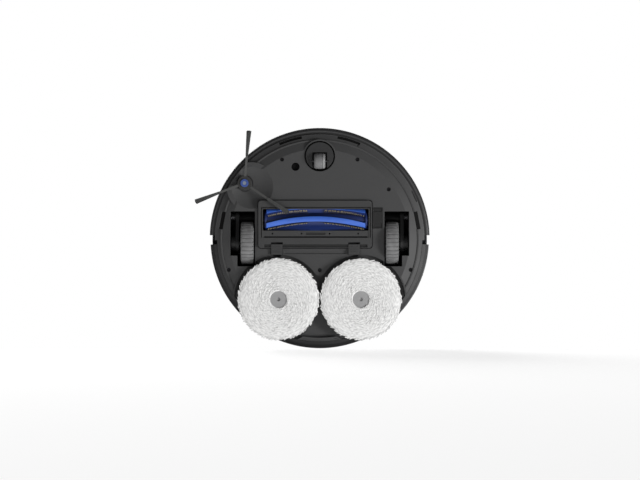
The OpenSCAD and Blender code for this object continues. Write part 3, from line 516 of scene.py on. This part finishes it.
def pick_faces(piece, test):
    """Selects the faces whose centre and normal pass the test, in edit mode."""
    bpy.context.view_layer.objects.active = piece
    bpy.ops.object.mode_set(mode="EDIT")
    bpy.ops.mesh.select_mode(type="FACE")
    bpy.ops.mesh.select_all(action="DESELECT")
    bpy.ops.object.mode_set(mode="OBJECT")
    for face in piece.data.polygons:
        face.select = bool(test(face.center, face.normal))
    bpy.ops.object.mode_set(mode="EDIT")


def settle(piece, finish, body, smooth=40, outward=True):
    """Closes doubles, turns faces outwards, smooths, paints and mounts the piece."""
    empty_hands()
    piece.select_set(True)
    bpy.context.view_layer.objects.active = piece
    bpy.ops.object.mode_set(mode="EDIT")
    bpy.ops.mesh.select_all(action="SELECT")
    bpy.ops.mesh.remove_doubles(threshold=1e-6)
    if outward:
        bpy.ops.mesh.normals_make_consistent(inside=False)
    bpy.ops.object.mode_set(mode="OBJECT")
    bpy.ops.object.shade_smooth_by_angle(angle=math.radians(smooth))
    piece.data.materials.clear()
    piece.data.materials.append(finish)
    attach(piece, body)
    print(piece.name, len(piece.data.polygons), "faces")
    return piece


def finish_modifier(piece, kind, **settings):
    """Adds a modifier and applies it."""
    empty_hands()
    piece.select_set(True)
    bpy.context.view_layer.objects.active = piece
    tool = piece.modifiers.new(kind, kind)
    for key, value in settings.items():
        setattr(tool, key, value)
    bpy.ops.object.modifier_apply(modifier=tool.name)


# %% [markdown]
# ## Turned pieces
# Tyres, pads and wheels are turned shapes. A flat loop with one vertex for each corner of the
# section is spun round the axle, which gives clean rings of faces that can then be picked.


# %% Spin a section
def turned(name, section, centre, axis, steps):
    """Spins a closed section, given as points in metres, once round an axle."""
    piece = start(name, bpy.ops.mesh.primitive_circle_add, vertices=len(section), radius=0.01)
    for vertex, point in zip(piece.data.vertices, section):
        vertex.co = point
    bpy.ops.object.mode_set(mode="EDIT")
    bpy.ops.mesh.select_all(action="SELECT")
    bpy.ops.mesh.spin(steps=steps, angle=2 * math.pi, center=centre, axis=axis)
    bpy.ops.mesh.select_all(action="SELECT")
    bpy.ops.mesh.remove_doubles(threshold=1e-6)
    bpy.ops.mesh.normals_make_consistent(inside=False)
    bpy.ops.object.mode_set(mode="OBJECT")
    return piece


def middle(node):
    low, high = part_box(node)
    return (Vector(low) + Vector(high)) / 2


# %% [markdown]
# ## Copies of a small shape
# Bristles and yarns are one small shape repeated hundreds of times. It is modelled once, and
# its vertices are then copied through a list of placements into one mesh, which stays light.


# %% Scatter one shape
def scatter(name, pattern, placements):
    """One mesh with a copy of the pattern's mesh at each placement; the pattern is used up."""
    points = np.array([tuple(v.co) + (1.0,) for v in pattern.data.vertices])
    faces = [tuple(f.vertices) for f in pattern.data.polygons]
    corners, all_faces = [], []
    for number, placement in enumerate(placements):
        corners.append((points @ np.array(placement).T)[:, :3])
        shift = number * len(points)
        all_faces += [tuple(v + shift for v in face) for face in faces]
    mesh = bpy.data.meshes.new(name)
    mesh.from_pydata(np.vstack(corners).tolist(), [], all_faces)
    piece = bpy.data.objects.new(name, mesh)
    bpy.context.scene.collection.objects.link(piece)
    bpy.data.objects.remove(pattern)
    return piece


print("helpers ready")

# %% [markdown]
# ## Mop pads
# A mop pad is a disc of thick white yarn loops on a backing, combed into a swirl by its own
# turning. A bump pattern would look printed, so the pad is a crowned cushion with about 2,500
# short tapered yarns laid over it in rings, each pointing round and outwards. The colour adds
# a finer swirl of painted shade between the strands: noise read in polar places round each hub
# is drawn out along the yarns and darkens the white yarn to grey.

# %% The yarn finish
yarn = Bench("pad_plush")
yarn_cloud = yarn.noise(11 * MM, detail=3)
yarn_fibre = yarn.noise(0.5 * MM, detail=3)
yarn_x = yarn.node("ShaderNodeSeparateXYZ", {}, {0: yarn.place}, output="X")
yarn_y = yarn.node("ShaderNodeSeparateXYZ", {}, {0: yarn.place}, output="Y")
hub_x, hub_y = middle("mop_pad_right").x, middle("mop_pad_right").y
east = yarn_x.maths("ABSOLUTE", yarn_x, 0) - hub_x
south = yarn_y - hub_y
spread = (east * east + south * south).maths("SQRT", east * east + south * south, 0)
round_hub = south.maths("ARCTAN2", south, east)
swirl = yarn.node(
    "ShaderNodeCombineXYZ", {}, {"X": round_hub * 9 + spread * 60, "Y": spread * 620}
)
# Painted shade between the strands: where this swirl is low, the white yarn turns grey.
painted_strand_shade = yarn.node(
    "ShaderNodeTexNoise", {}, {"Vector": swirl, "Scale": 1.0, "Detail": 2.5}, output="Fac"
).between(0.34, 0.62)
# The blend's dark end is painted strand shade from the swirl, with random tone from the cloud and
# fibre noise.
yarn.feed(
    Base_Color=yarn.blend(
        yarn_cloud * 0.25 + yarn_fibre * 0.25 + painted_strand_shade * 0.5,
        rgb(0.38, 0.38, 0.378),
        rgb(0.84, 0.838, 0.83),
    ),
    Roughness=0.9 + (yarn_fibre - 0.5) * 0.1,
    Normal=yarn.relief(yarn_fibre, 0.15 * MM),
    Sheen_Weight=0.25,
)
print("finish", yarn.material.name)

# %% The cushion of a pad
PAD_LOW, PAD_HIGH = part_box("mop_pad_left")
PAD_R = (PAD_HIGH - PAD_LOW).x / 2
PAD_TIP = PAD_R + 0.7 * MM
PAD_HOLE = 13.2 * MM
PAD_TOP = PAD_HIGH.z
YARN_PITCH, RING_PITCH = 2.4 * MM, 2.0 * MM


def pad_cushion(name, node):
    """The crowned body of a pad, as a section spun round its hub."""
    hub = middle(node)
    inner, outer, top, low = PAD_HOLE, PAD_R - 1.6 * MM, PAD_TOP, 1.0 * MM
    corners = [
        (inner, top),
        (inner, low + 1.2 * MM),
        (inner + 1.4 * MM, low + 0.2 * MM),
        (inner + 12 * MM, low),
        ((inner + outer) / 2, low),
        (outer - 7 * MM, low + 0.15 * MM),
        (outer - 1.8 * MM, low + 1.0 * MM),
        (outer, low + 2.6 * MM),
        (outer - 0.5 * MM, top - 0.8 * MM),
        (outer - 3 * MM, top),
    ]
    section = [(hub.x + r, hub.y, z) for r, z in corners]
    return turned(name, section, (hub.x, hub.y, 0), (0, 0, 1), 72)


# %% One yarn
def one_yarn():
    """A tapered, slightly arched yarn 1 long, 1 wide and 1 thick, lying along +X."""
    thread = start("yarn", bpy.ops.mesh.primitive_cube_add, size=1, location=(0.5, 0, 0))
    pick_faces(thread, lambda centre, normal: abs(normal.x) < 0.5)
    bpy.ops.mesh.subdivide(number_cuts=1)
    bpy.ops.object.mode_set(mode="OBJECT")
    pick_faces(thread, lambda centre, normal: normal.x > 0.5)
    bpy.ops.transform.resize(value=(1, 0.9, 0.9))
    for length, width in ((0.35, 1.15), (0.35, 0.85), (0.3, 0.35)):
        bpy.ops.mesh.extrude_region_move(TRANSFORM_OT_translate={"value": (length, 0, 0.06)})
        bpy.ops.transform.resize(value=(1, width, width))
    bpy.ops.object.mode_set(mode="OBJECT")
    for vertex in thread.data.vertices:
        vertex.co.x /= 2.0
    return thread


# %% Lay the yarns
def reach_of(r, length, lean):
    """How far from the hub a yarn's tip ends that starts `r` from it."""
    return math.sqrt(r * r + length * length + 2 * r * length * math.sin(lean))


def lay_yarns(node, seed):
    """Rings of placements that swirl round the hub, from the middle to the rim."""
    dice = random.Random(seed)
    hub = middle(node)
    laid = []
    ring = PAD_HOLE + 1.5 * MM
    while ring < PAD_R - 1.2 * MM:
        count = int(2 * math.pi * ring / YARN_PITCH)
        turn = dice.uniform(0, 6.28)
        for number in range(count):
            angle = turn + 2 * math.pi * (number + dice.uniform(-0.3, 0.3)) / count
            r = ring + dice.uniform(-0.8, 0.8) * MM
            lean = math.radians(max(3, dice.gauss(17, 12)) * (0.6 + 0.4 * r / PAD_R))
            length = dice.uniform(4.5, 8.5) * MM
            reach = reach_of(r, length, lean)
            if reach > PAD_TIP:
                length *= max(0.45, 1 - (reach - PAD_TIP) / length * 1.25)
            if reach_of(r, length, lean) > PAD_TIP + 0.1 * MM:
                continue
            rise = (r / PAD_R) ** 6 * 1.6 * MM
            place = Matrix.Translation(
                (
                    hub.x + r * math.cos(angle),
                    hub.y + r * math.sin(angle),
                    dice.uniform(1.2, 2.0) * MM + rise,
                )
            )
            aim = Matrix.Rotation(angle + math.pi / 2 - lean, 4, "Z")
            tip = Matrix.Rotation(math.radians(dice.uniform(-2, 3)), 4, "Y")
            roll = Matrix.Rotation(dice.uniform(-0.5, 0.5), 4, "X")
            size = Matrix.Diagonal(
                (length, dice.uniform(1.1, 1.8) * MM, dice.uniform(0.9, 1.7) * MM, 1)
            )
            laid.append(place @ aim @ tip @ roll @ size)
        ring += RING_PITCH
    return laid


# %% Both pads
for side, seed in (("left", 11), ("right", 23)):
    node = "mop_pad_" + side
    cushion = pad_cushion("mop_plush_" + side, node)
    yarns = scatter("yarns_" + side, one_yarn(), lay_yarns(node, seed))
    empty_hands()
    yarns.select_set(True)
    cushion.select_set(True)
    bpy.context.view_layer.objects.active = cushion
    bpy.ops.object.join()
    settle(cushion, yarn.material, "mop_" + side, smooth=60, outward=False)
    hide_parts(node)

# %% [markdown]
# ## Drive tyres
# A drive tyre is soft grey rubber with a block tread, so that it grips a wet floor. The crowned
# section is spun in 96 steps, and every third row of tread faces is pressed in to make the
# grooves between the blocks.

# %% The tyre finish
tyre_finish = rubbery("tyre_grey", (0.150, 0.150, 0.151), dust=0.35, grain=0.6, gloss=0.12)
print("finish", tyre_finish.name)

# %% Tyres
GROOVE_STEPS = 96


def tyre(side):
    node = "wheel_tyre_" + side
    low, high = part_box(node)
    hub = middle(node)
    outer, inner = (high.z - low.z) / 2, (high.z - low.z) / 2 - 6 * MM
    half = (high.x - low.x) / 2
    corners = [
        (-half, inner),
        (-half, outer - 2.4 * MM),
        (-half + 0.7 * MM, outer - 1.0 * MM),
        (-half + 2.2 * MM, outer - 0.25 * MM),
        (-half / 3, outer),
        (0, outer - 0.02 * MM),
        (half / 3, outer),
        (half - 2.2 * MM, outer - 0.25 * MM),
        (half - 0.7 * MM, outer - 1.0 * MM),
        (half, outer - 2.4 * MM),
        (half, inner),
    ]
    section = [(hub.x + x, hub.y, hub.z + r) for x, r in corners]
    piece = turned("tread_tyre_" + side, section, hub, (1, 0, 0), GROOVE_STEPS)

    def in_groove(centre, normal):
        r = math.hypot(centre.y - hub.y, centre.z - hub.z)
        turn = math.atan2(centre.y - hub.y, centre.z - hub.z) / (2 * math.pi) * GROOVE_STEPS
        return r > outer - 1.2 * MM and math.floor(turn) % 3 == 0

    pick_faces(piece, in_groove)
    bpy.ops.mesh.inset(thickness=0.3 * MM, depth=-1.1 * MM, use_individual=False)
    bpy.ops.object.mode_set(mode="OBJECT")
    settle(piece, tyre_finish, "wheel_" + side, smooth=28)
    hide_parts(node)


tyre("left")
tyre("right")

# %% [markdown]
# ## Main roller
# The roller has a blue tube with curved ribs of soft rubber, and behind each rib a row of
# cream bristle tufts. Each rib bows round the tube from its middle to both ends, which sweeps
# dust to the middle. It is one section pushed out along the axle in short steps that turn more
# and more; the other half is its mirror image.

# %% Roller finishes
tube_finish = moulded("roller_blue", (0.006, 0.016, 0.085), gloss=0.5, wear=0.2)

FINS_LOW, FINS_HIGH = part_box("roller_fins")
CORE_LOW, CORE_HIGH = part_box("roller_core")
AXLE = (Vector(FINS_LOW) + Vector(FINS_HIGH)) / 2


def two_tone(name, low, high, shade_colour, tip, gloss):
    """Goes from painted shade `shade_colour` to `tip` between two distances from the roller's
    axle, in millimetres.
    """
    bench = Bench(name)
    flat = bench.node(
        "ShaderNodeVectorMath", {"operation": "MULTIPLY"}, {0: bench.place, 1: (0, 1, 1)}
    )
    out = bench.node(
        "ShaderNodeVectorMath",
        {"operation": "DISTANCE"},
        {0: flat, 1: (0, AXLE.y, AXLE.z)},
        "Value",
    )
    speck = bench.noise(0.9 * MM, detail=3)
    cloud = bench.noise(12 * MM, detail=2)
    # Painted shade near the axle, turning into the tip colour further out.
    blended = bench.blend(
        out.between(low * MM, high * MM) * (0.72 + speck * 0.35), rgb(*shade_colour), rgb(*tip)
    )
    return bench.feed(
        Base_Color=bench.blend(cloud * 0.3, blended, rgb(*shade_colour)),
        Roughness=(1 - gloss) + (speck - 0.5) * 0.25,
        Normal=bench.relief(speck, 0.05 * MM),
    )


# Painted shade: the ribs and the tufts darken towards the tube, deep between them. The tip
# colours are the blue rubber and the cream bristles.
RIB_PAINTED_SHADE, RIB_TIP = (0.008, 0.024, 0.13), (0.040, 0.135, 0.58)
TUFT_PAINTED_SHADE, TUFT_TIP = (0.014, 0.011, 0.009), (0.42, 0.36, 0.22)
rib_finish = two_tone("rib_blue", 18.8, 19.8, RIB_PAINTED_SHADE, RIB_TIP, gloss=0.5)
tuft_finish = two_tone("bristle_cream", 15.8, 18.4, TUFT_PAINTED_SHADE, TUFT_TIP, gloss=0.35)
print("finishes", tube_finish.name, rib_finish.name, tuft_finish.name)

# %% The tube with its end caps
ROLLER_R = AXLE.z - FINS_LOW.z
TUBE_R = 13 * MM
roller_left, roller_right = FINS_LOW.x, FINS_HIGH.x
left_half = [
    (CORE_LOW.x, 0),
    (CORE_LOW.x, 3 * MM),
    (roller_left - 3 * MM, 3 * MM),
    (roller_left - 3 * MM, 15.2 * MM),
    (roller_left - 2.4 * MM, 16 * MM),
    (roller_left - 0.3 * MM, 16 * MM),
    (roller_left + 1.2 * MM, TUBE_R),
]
right_half = [
    (roller_right - 1.2 * MM, TUBE_R),
    (roller_right + 0.3 * MM, 16 * MM),
    (roller_right + 2.4 * MM, 16 * MM),
    (roller_right + 3 * MM, 15.2 * MM),
    (roller_right + 3 * MM, 4 * MM),
    (CORE_HIGH.x, 4 * MM),
    (CORE_HIGH.x, 0),
]
section = [(x, AXLE.y, AXLE.z - r) for x, r in left_half + right_half]
tube = turned("roller_tube", section, AXLE, (1, 0, 0), 48)
settle(tube, tube_finish, "roller", smooth=30)
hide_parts("roller_core")

# %% One curved rib
RIB_TWIST = math.radians(32)
RIB_STEPS = 14
RIB_DRAWN_R = 20.5 * MM
RIB_SECTION = [(-15, 12.6), (-12.8, 18.2), (-11.6, 20.1), (-7, 20.45)]
RIB_SECTION += [(7, 20.45), (11.6, 20.1), (12.8, 18.2), (15, 12.6)]
RIB_START = math.radians(-5)


def curved_rib():
    """A rib round an axle on the X axis, with its middle at the lowest place."""
    rib = start("rib", bpy.ops.mesh.primitive_circle_add, vertices=8, fill_type="NGON")
    for vertex, (turn, r) in zip(rib.data.vertices, RIB_SECTION):
        a = math.radians(turn)
        r *= MM * ROLLER_R / RIB_DRAWN_R
        vertex.co = (0, r * math.sin(a), -r * math.cos(a))
    bpy.ops.object.mode_set(mode="EDIT")
    bpy.ops.mesh.select_all(action="SELECT")
    step = (roller_right - roller_left) / 2 / RIB_STEPS
    for number in range(RIB_STEPS):
        turn = RIB_TWIST * (2 * number + 1) / RIB_STEPS**2
        bpy.ops.mesh.extrude_region_move(TRANSFORM_OT_translate={"value": (step, 0, 0)})
        bpy.ops.transform.rotate(value=-turn, orient_axis="X", center_override=(0, 0, 0))
    bpy.ops.object.mode_set(mode="OBJECT")
    pick_faces(rib, lambda centre, normal: centre.x < 1e-6)
    bpy.ops.mesh.delete(type="ONLY_FACE")
    bpy.ops.object.mode_set(mode="OBJECT")
    finish_modifier(rib, "MIRROR", merge_threshold=1e-5)
    return rib


# %% Five ribs on the tube
RIBS = 5
one_rib = curved_rib()
ribs = scatter(
    "roller_ribs",
    one_rib,
    [
        Matrix.Translation(AXLE) @ Matrix.Rotation(RIB_START + 2 * math.pi * k / RIBS, 4, "X")
        for k in range(RIBS)
    ],
)
settle(ribs, rib_finish, "roller", smooth=40)
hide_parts("roller_fins")

# %% [markdown]
# ## Bristle tufts
# Each row of bristles stands behind a rib and follows its curve. A tuft is a small bundle
# that spreads a little towards its tip, so one six-sided frustum, copied with a slightly
# different lean each time, is enough.


# %% Tufts on the roller
def tuft_pattern():
    """A tuft 1 high along -Z, spreading to its tip, with a ragged end."""
    tuft = start(
        "tuft",
        bpy.ops.mesh.primitive_cone_add,
        vertices=6,
        radius1=0.085,
        radius2=0.05,
        depth=1,
        location=(0, 0, -0.5),
    )
    pick_faces(tuft, lambda centre, normal: normal.z < -0.5)
    bpy.ops.mesh.inset(thickness=0.03, depth=-0.08)
    bpy.ops.object.mode_set(mode="OBJECT")
    return tuft


ROW_BEHIND = math.radians(22)
TUFT_PITCH = 2.75 * MM
TUFT_WIDTH, TUFT_LEAN = 8.5 * MM, 22
ROW_HALF = (roller_right - roller_left) / 2 - 3 * MM
BARE_MIDDLE = 0.16
dice = random.Random(5)
tufts = []
for k in range(RIBS):
    for number in range(int(BARE_MIDDLE * ROW_HALF / TUFT_PITCH), int(ROW_HALF / TUFT_PITCH)):
        along = 1.6 * MM + TUFT_PITCH * number
        share = along / ROW_HALF
        for way in (-1, 1):
            sweep = ROW_BEHIND * (0.9 + 0.3 * share) + RIB_TWIST * share**2
            turn = RIB_START + 2 * math.pi * k / RIBS + sweep
            spot = Matrix.Translation((AXLE.x + way * along, AXLE.y, AXLE.z))
            lean = Matrix.Rotation(math.radians(-way * TUFT_LEAN + dice.uniform(-5, 5)), 4, "Y")
            out = Matrix.Translation((0, 0, -TUBE_R + 0.3 * MM))
            size = (ROLLER_R - TUBE_R) * dice.uniform(0.93, 1.02)
            tufts.append(
                spot
                @ Matrix.Rotation(turn, 4, "X")
                @ out
                @ lean
                @ Matrix.Diagonal((TUFT_WIDTH, TUFT_WIDTH, size, 1))
            )
roller_tufts = scatter("roller_tufts", tuft_pattern(), tufts)
settle(roller_tufts, tuft_finish, "roller", smooth=30)
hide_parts("roller_bristles")

# %% [markdown]
# ## Side brush bristles
# At the end of each arm a bundle of long stiff hairs spreads into a flat fan. Every hair is a
# thin box; the fan shape comes from where each starts and where it aims.


# %% Hairs of the side brush
def hair_pattern():
    """A hair 1 long along +X that narrows to its tip."""
    hair = start("hair", bpy.ops.mesh.primitive_cube_add, size=1, location=(0.5, 0, 0))
    pick_faces(hair, lambda centre, normal: normal.x > 0.5)
    bpy.ops.transform.resize(value=(1, 0.75, 0.75))
    bpy.ops.object.mode_set(mode="OBJECT")
    return hair


BRISTLES_LOW, BRISTLES_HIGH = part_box("side_brush_bristles")
HUB = middle("side_brush_hub")
ARM_END, REACH = 46 * MM, 84 * MM
ARM_ANGLES = (-85, 34, 159)
HAIRS_PER_ARM, HIDDEN_IN_ARM = 130, 3 * MM
HAIR_WIDTH, HAIR_THICKNESS = 0.55 * MM, 0.40 * MM
dice = random.Random(8)
hairs = []
for arm in ARM_ANGLES:
    for _ in range(HAIRS_PER_ARM):
        side = dice.uniform(-1, 1)
        lift = dice.uniform(0.15, 0.85)
        spot = Matrix.Translation(
            (HUB.x, HUB.y, BRISTLES_LOW.z + (BRISTLES_HIGH.z - BRISTLES_LOW.z) * lift)
        )
        out = Matrix.Translation((ARM_END - HIDDEN_IN_ARM, side * 1.75 * MM, 0))
        fan = Matrix.Rotation(math.radians(side * 2.7 + dice.uniform(-0.3, 0.3)), 4, "Z")
        ragged = dice.uniform(0.0, 1.6) * MM + abs(side) * 0.8 * MM
        length = REACH - ARM_END + HIDDEN_IN_ARM - ragged
        size = Matrix.Diagonal((length, HAIR_WIDTH, HAIR_THICKNESS, 1))
        hairs.append(spot @ Matrix.Rotation(math.radians(arm), 4, "Z") @ out @ fan @ size)
hair_finish = moulded("bristle_black", (0.040, 0.041, 0.040), gloss=0.35, wear=0.0, dust=0.4)
side_hairs = scatter("side_brush_hairs", hair_pattern(), hairs)
settle(side_hairs, hair_finish, "side_brush", smooth=30)
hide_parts("side_brush_bristles")

# %% [markdown]
# ## Caster wheel
# The front wheel is a small barrel, moulded in grey with a paler band at one end that lets the
# machine see it turn. The barrel is a spun section; the band is a step in the colour along X.

# %% The caster's two tones
caster_bench = Bench("caster_two_tone")
along = caster_bench.node("ShaderNodeSeparateXYZ", {}, {0: caster_bench.place}, output="X")
stripe = along.between(5.0 * MM, 5.6 * MM) * (1 - along.between(8.0 * MM, 8.4 * MM))
scuff = caster_bench.noise(1.4 * MM, detail=4)
cloud = caster_bench.noise(6 * MM, detail=2)
caster_bench.feed(
    Base_Color=caster_bench.blend(
        scuff * 0.5 + cloud * 0.3,
        caster_bench.blend(stripe, rgb(0.10, 0.10, 0.102), rgb(0.16, 0.16, 0.16)),
        caster_bench.blend(stripe, rgb(0.19, 0.19, 0.192), rgb(0.25, 0.25, 0.25)),
    ),
    Roughness=0.62 + (scuff - 0.5) * 0.3,
    Normal=caster_bench.relief(scuff, 0.06 * MM),
)
print("finish", caster_bench.material.name)

# %% The caster's barrel
WHEEL_LOW, WHEEL_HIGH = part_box("caster_wheel")
PIVOT = middle("caster_wheel")
half, r = (WHEEL_HIGH - WHEEL_LOW).x / 2 - 1.2 * MM, (WHEEL_HIGH - WHEEL_LOW).z / 2
barrel = [
    (-half, 1.6 * MM),
    (-half, r - 4 * MM),
    (-half + 0.2 * MM, r - 2.2 * MM),
    (-half + 1.2 * MM, r - 1.0 * MM),
    (-half + 3.4 * MM, r - 0.25 * MM),
    (0, r),
    (half - 5.6 * MM, r - 0.06 * MM),
    (half - 5.2 * MM, r - 0.6 * MM),
    (half - 4.6 * MM, r - 0.6 * MM),
    (half - 4.2 * MM, r - 0.1 * MM),
    (half - 1.2 * MM, r - 0.9 * MM),
    (half - 0.2 * MM, r - 2.2 * MM),
    (half, r - 4 * MM),
    (half, 1.6 * MM),
]
section = [(PIVOT.x + x, PIVOT.y, PIVOT.z + out) for x, out in barrel]
caster_barrel = turned("caster_barrel", section, PIVOT, (1, 0, 0), 64)
settle(caster_barrel, caster_bench.material, "caster_wheel", smooth=35)
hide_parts("caster_wheel")

# %% [markdown]
# ## Filter
# The dust bin's filter is paper folded into pleats. A flat sheet is cut into strips, every
# other fold is pulled forward, and Solidify gives the paper its thickness.

# %% Pleated filter
FILTER_LOW, FILTER_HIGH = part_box("bin_filter")
PLEATS = 16
EDGE_GAP, PAPER_THICKNESS = 1 * MM, 0.5 * MM
paper = start("filter_pleats", bpy.ops.mesh.primitive_plane_add, size=1)
spread = Vector(FILTER_HIGH) - Vector(FILTER_LOW)
core = middle("bin_filter")
upright = Matrix.Rotation(math.pi / 2, 4, "Y")
scale = Matrix.Diagonal((1, spread.y - EDGE_GAP, spread.z - EDGE_GAP, 1))
paper.data.transform(Matrix.Translation(core) @ scale @ upright)
bpy.ops.object.mode_set(mode="EDIT")
bpy.ops.mesh.select_mode(type="EDGE")
bpy.ops.mesh.select_all(action="DESELECT")
bpy.ops.object.mode_set(mode="OBJECT")
for edge in paper.data.edges:
    a, b = (paper.data.vertices[i].co for i in edge.vertices)
    edge.select = abs(a.y - b.y) > abs(a.z - b.z)
bpy.ops.object.mode_set(mode="EDIT")
bpy.ops.mesh.subdivide(number_cuts=2 * PLEATS - 1)
bpy.ops.object.mode_set(mode="OBJECT")
for vertex in paper.data.vertices:
    fold = round((vertex.co.y - core.y) / (spread.y - EDGE_GAP) * 2 * PLEATS)
    vertex.co.x = core.x + (1 if fold % 2 else -1) * (spread.x / 2 - 0.6 * MM)
finish_modifier(paper, "SOLIDIFY", thickness=PAPER_THICKNESS, offset=0)
settle(paper, filter_paper, "dust_bin", smooth=20)
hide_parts("bin_filter")

# %% [markdown]
# ## Suspension coils
# A torsion spring on each wheel arm's pin presses the wheel down. A round wire section is wound
# by the Screw modifier, which turns and advances it at once.


# %% Coils
SPRINGS_LOW, SPRINGS_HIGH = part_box("suspension_springs")
spring_y = (SPRINGS_LOW.y + SPRINGS_HIGH.y) / 2
spring_z = (SPRINGS_LOW.z + SPRINGS_HIGH.z) / 2
COIL_R, WIRE_R, COIL_PITCH, COIL_TURNS = 4.55 * MM, 0.75 * MM, 1.62 * MM, 4
COIL_STEPS = 28
coil = start("coil", bpy.ops.mesh.primitive_circle_add, vertices=10, radius=WIRE_R)
coil.data.transform(
    Matrix.Translation((COIL_R, 0, 0)) @ Matrix.Rotation(math.pi / 2, 4, "X")
)
finish_modifier(
    coil,
    "SCREW",
    axis="Z",
    angle=2 * math.pi,
    screw_offset=COIL_PITCH,
    iterations=COIL_TURNS,
    steps=COIL_STEPS,
    render_steps=COIL_STEPS,
)
bpy.ops.object.mode_set(mode="EDIT")
bpy.ops.mesh.select_all(action="DESELECT")
bpy.ops.mesh.select_mode(type="EDGE")
bpy.ops.mesh.select_non_manifold()
bpy.ops.mesh.edge_face_add()
bpy.ops.object.mode_set(mode="OBJECT")
placements = []
for way, end in ((-1, SPRINGS_LOW.x), (1, SPRINGS_HIGH.x)):
    inward = Matrix.Rotation(-way * math.pi / 2, 4, "Y")
    spot = Matrix.Translation((end - way * 0.8 * MM, spring_y, spring_z))
    placements.append(spot @ inward)
coils = scatter("suspension_coils", coil, placements)
settle(coils, spring_steel, "chassis", smooth=60)
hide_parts("suspension_springs")

# %% [markdown]
# ## Studio
# Seen from below, the machine stands on its rear edge on a pale floor that glows a little, so
# that no horizon shows. Seen from above, it stands on another pale floor. Both planes are
# one-sided: their backs are clear, so neither hides the machine from the other side. The glowing
# one casts no shadow, because the lights stand beyond it.


# %% One-sided stage planes
def stage_plane(name, size, location, rotation, colour, glow=0.0):
    plane = start(
        name, bpy.ops.mesh.primitive_plane_add, size=1, location=location, rotation=rotation
    )
    centre = Vector(location)
    plane.data.transform(
        Matrix.Translation(centre) @ Matrix.Diagonal((*size, 1)) @ Matrix.Translation(-centre)
    )
    paper = Bench(name + "_paper")
    paper.feed(Base_Color=colour, Roughness=0.9, Specular_IOR_Level=0.1)
    paper.feed(Emission_Color=rgb(1, 1, 1), Emission_Strength=glow)
    clear = paper.node("ShaderNodeBsdfTransparent")
    back = paper.node("ShaderNodeNewGeometry", output="Backfacing")
    shader = Signal(paper, paper.shader.outputs[0])
    mixed = paper.node("ShaderNodeMixShader", {}, {0: back, 1: shader, 2: clear})
    exit_node = paper.tree.nodes["Material Output"]
    paper.tree.links.new(mixed.socket, exit_node.inputs["Surface"])
    plane.data.materials.append(paper.material)
    return plane


REAR = cad_high.y + 0.6 * MM
BACK_GLOW = 0.76
floor = stage_plane("floor", (14, 14, 1), (0, 0, -0.2 * MM), (0, 0, 0), rgb(0.82, 0.82, 0.82))
back_floor = stage_plane(
    "floor_below",
    (6, 1, 3.4),
    (0, REAR, -1.703),
    (math.pi / 2, 0, 0),
    rgb(0.6, 0.6, 0.6),
    glow=BACK_GLOW,
)
for ray in ("diffuse", "glossy", "transmission", "shadow"):
    setattr(floor, "visible_" + ray, False)
back_floor.visible_shadow = False
print("stage", floor.name, back_floor.name)


# %% Lights
def area_light(name, location, size, watts, target=(0, 0, 0.03)):
    light = bpy.data.objects.new(name, bpy.data.lights.new(name, "AREA"))
    light.data.size = size
    light.data.energy = watts
    light.location = location
    light.visible_camera = False
    aim = Vector(target) - Vector(location)
    light.rotation_euler = aim.to_track_quat("-Z", "Y").to_euler()
    bpy.context.scene.collection.objects.link(light)
    return light


for name, location, size, watts in (
    ("key_below", (2.45, 0.6, -1.6), 0.8, 86),
    ("soft_below", (0.9, 1.2, -2.9), 1.2, 14),
    ("key_above", (-1.3, -1.5, 2.2), 1.5, 60),
    ("fill_above", (1.8, 0.9, 1.9), 1.8, 30),
):
    area_light(name, location, size, watts)

# %% World
world = bpy.data.worlds.new("studio")
world.use_nodes = True
bpy.context.scene.world = world
sky = world.node_tree.nodes["Background"]
SKY_LIGHT = 0.15
path = world.node_tree.nodes.new("ShaderNodeLightPath")
level = world.node_tree.nodes.new("ShaderNodeMapRange")
level.inputs["To Min"].default_value = SKY_LIGHT
level.inputs["To Max"].default_value = 1.0
world.node_tree.links.new(path.outputs["Is Camera Ray"], level.inputs["Value"])
world.node_tree.links.new(level.outputs["Result"], sky.inputs["Strength"])
sky.inputs["Color"].default_value = (1, 1, 1, 1)
print("studio lit")
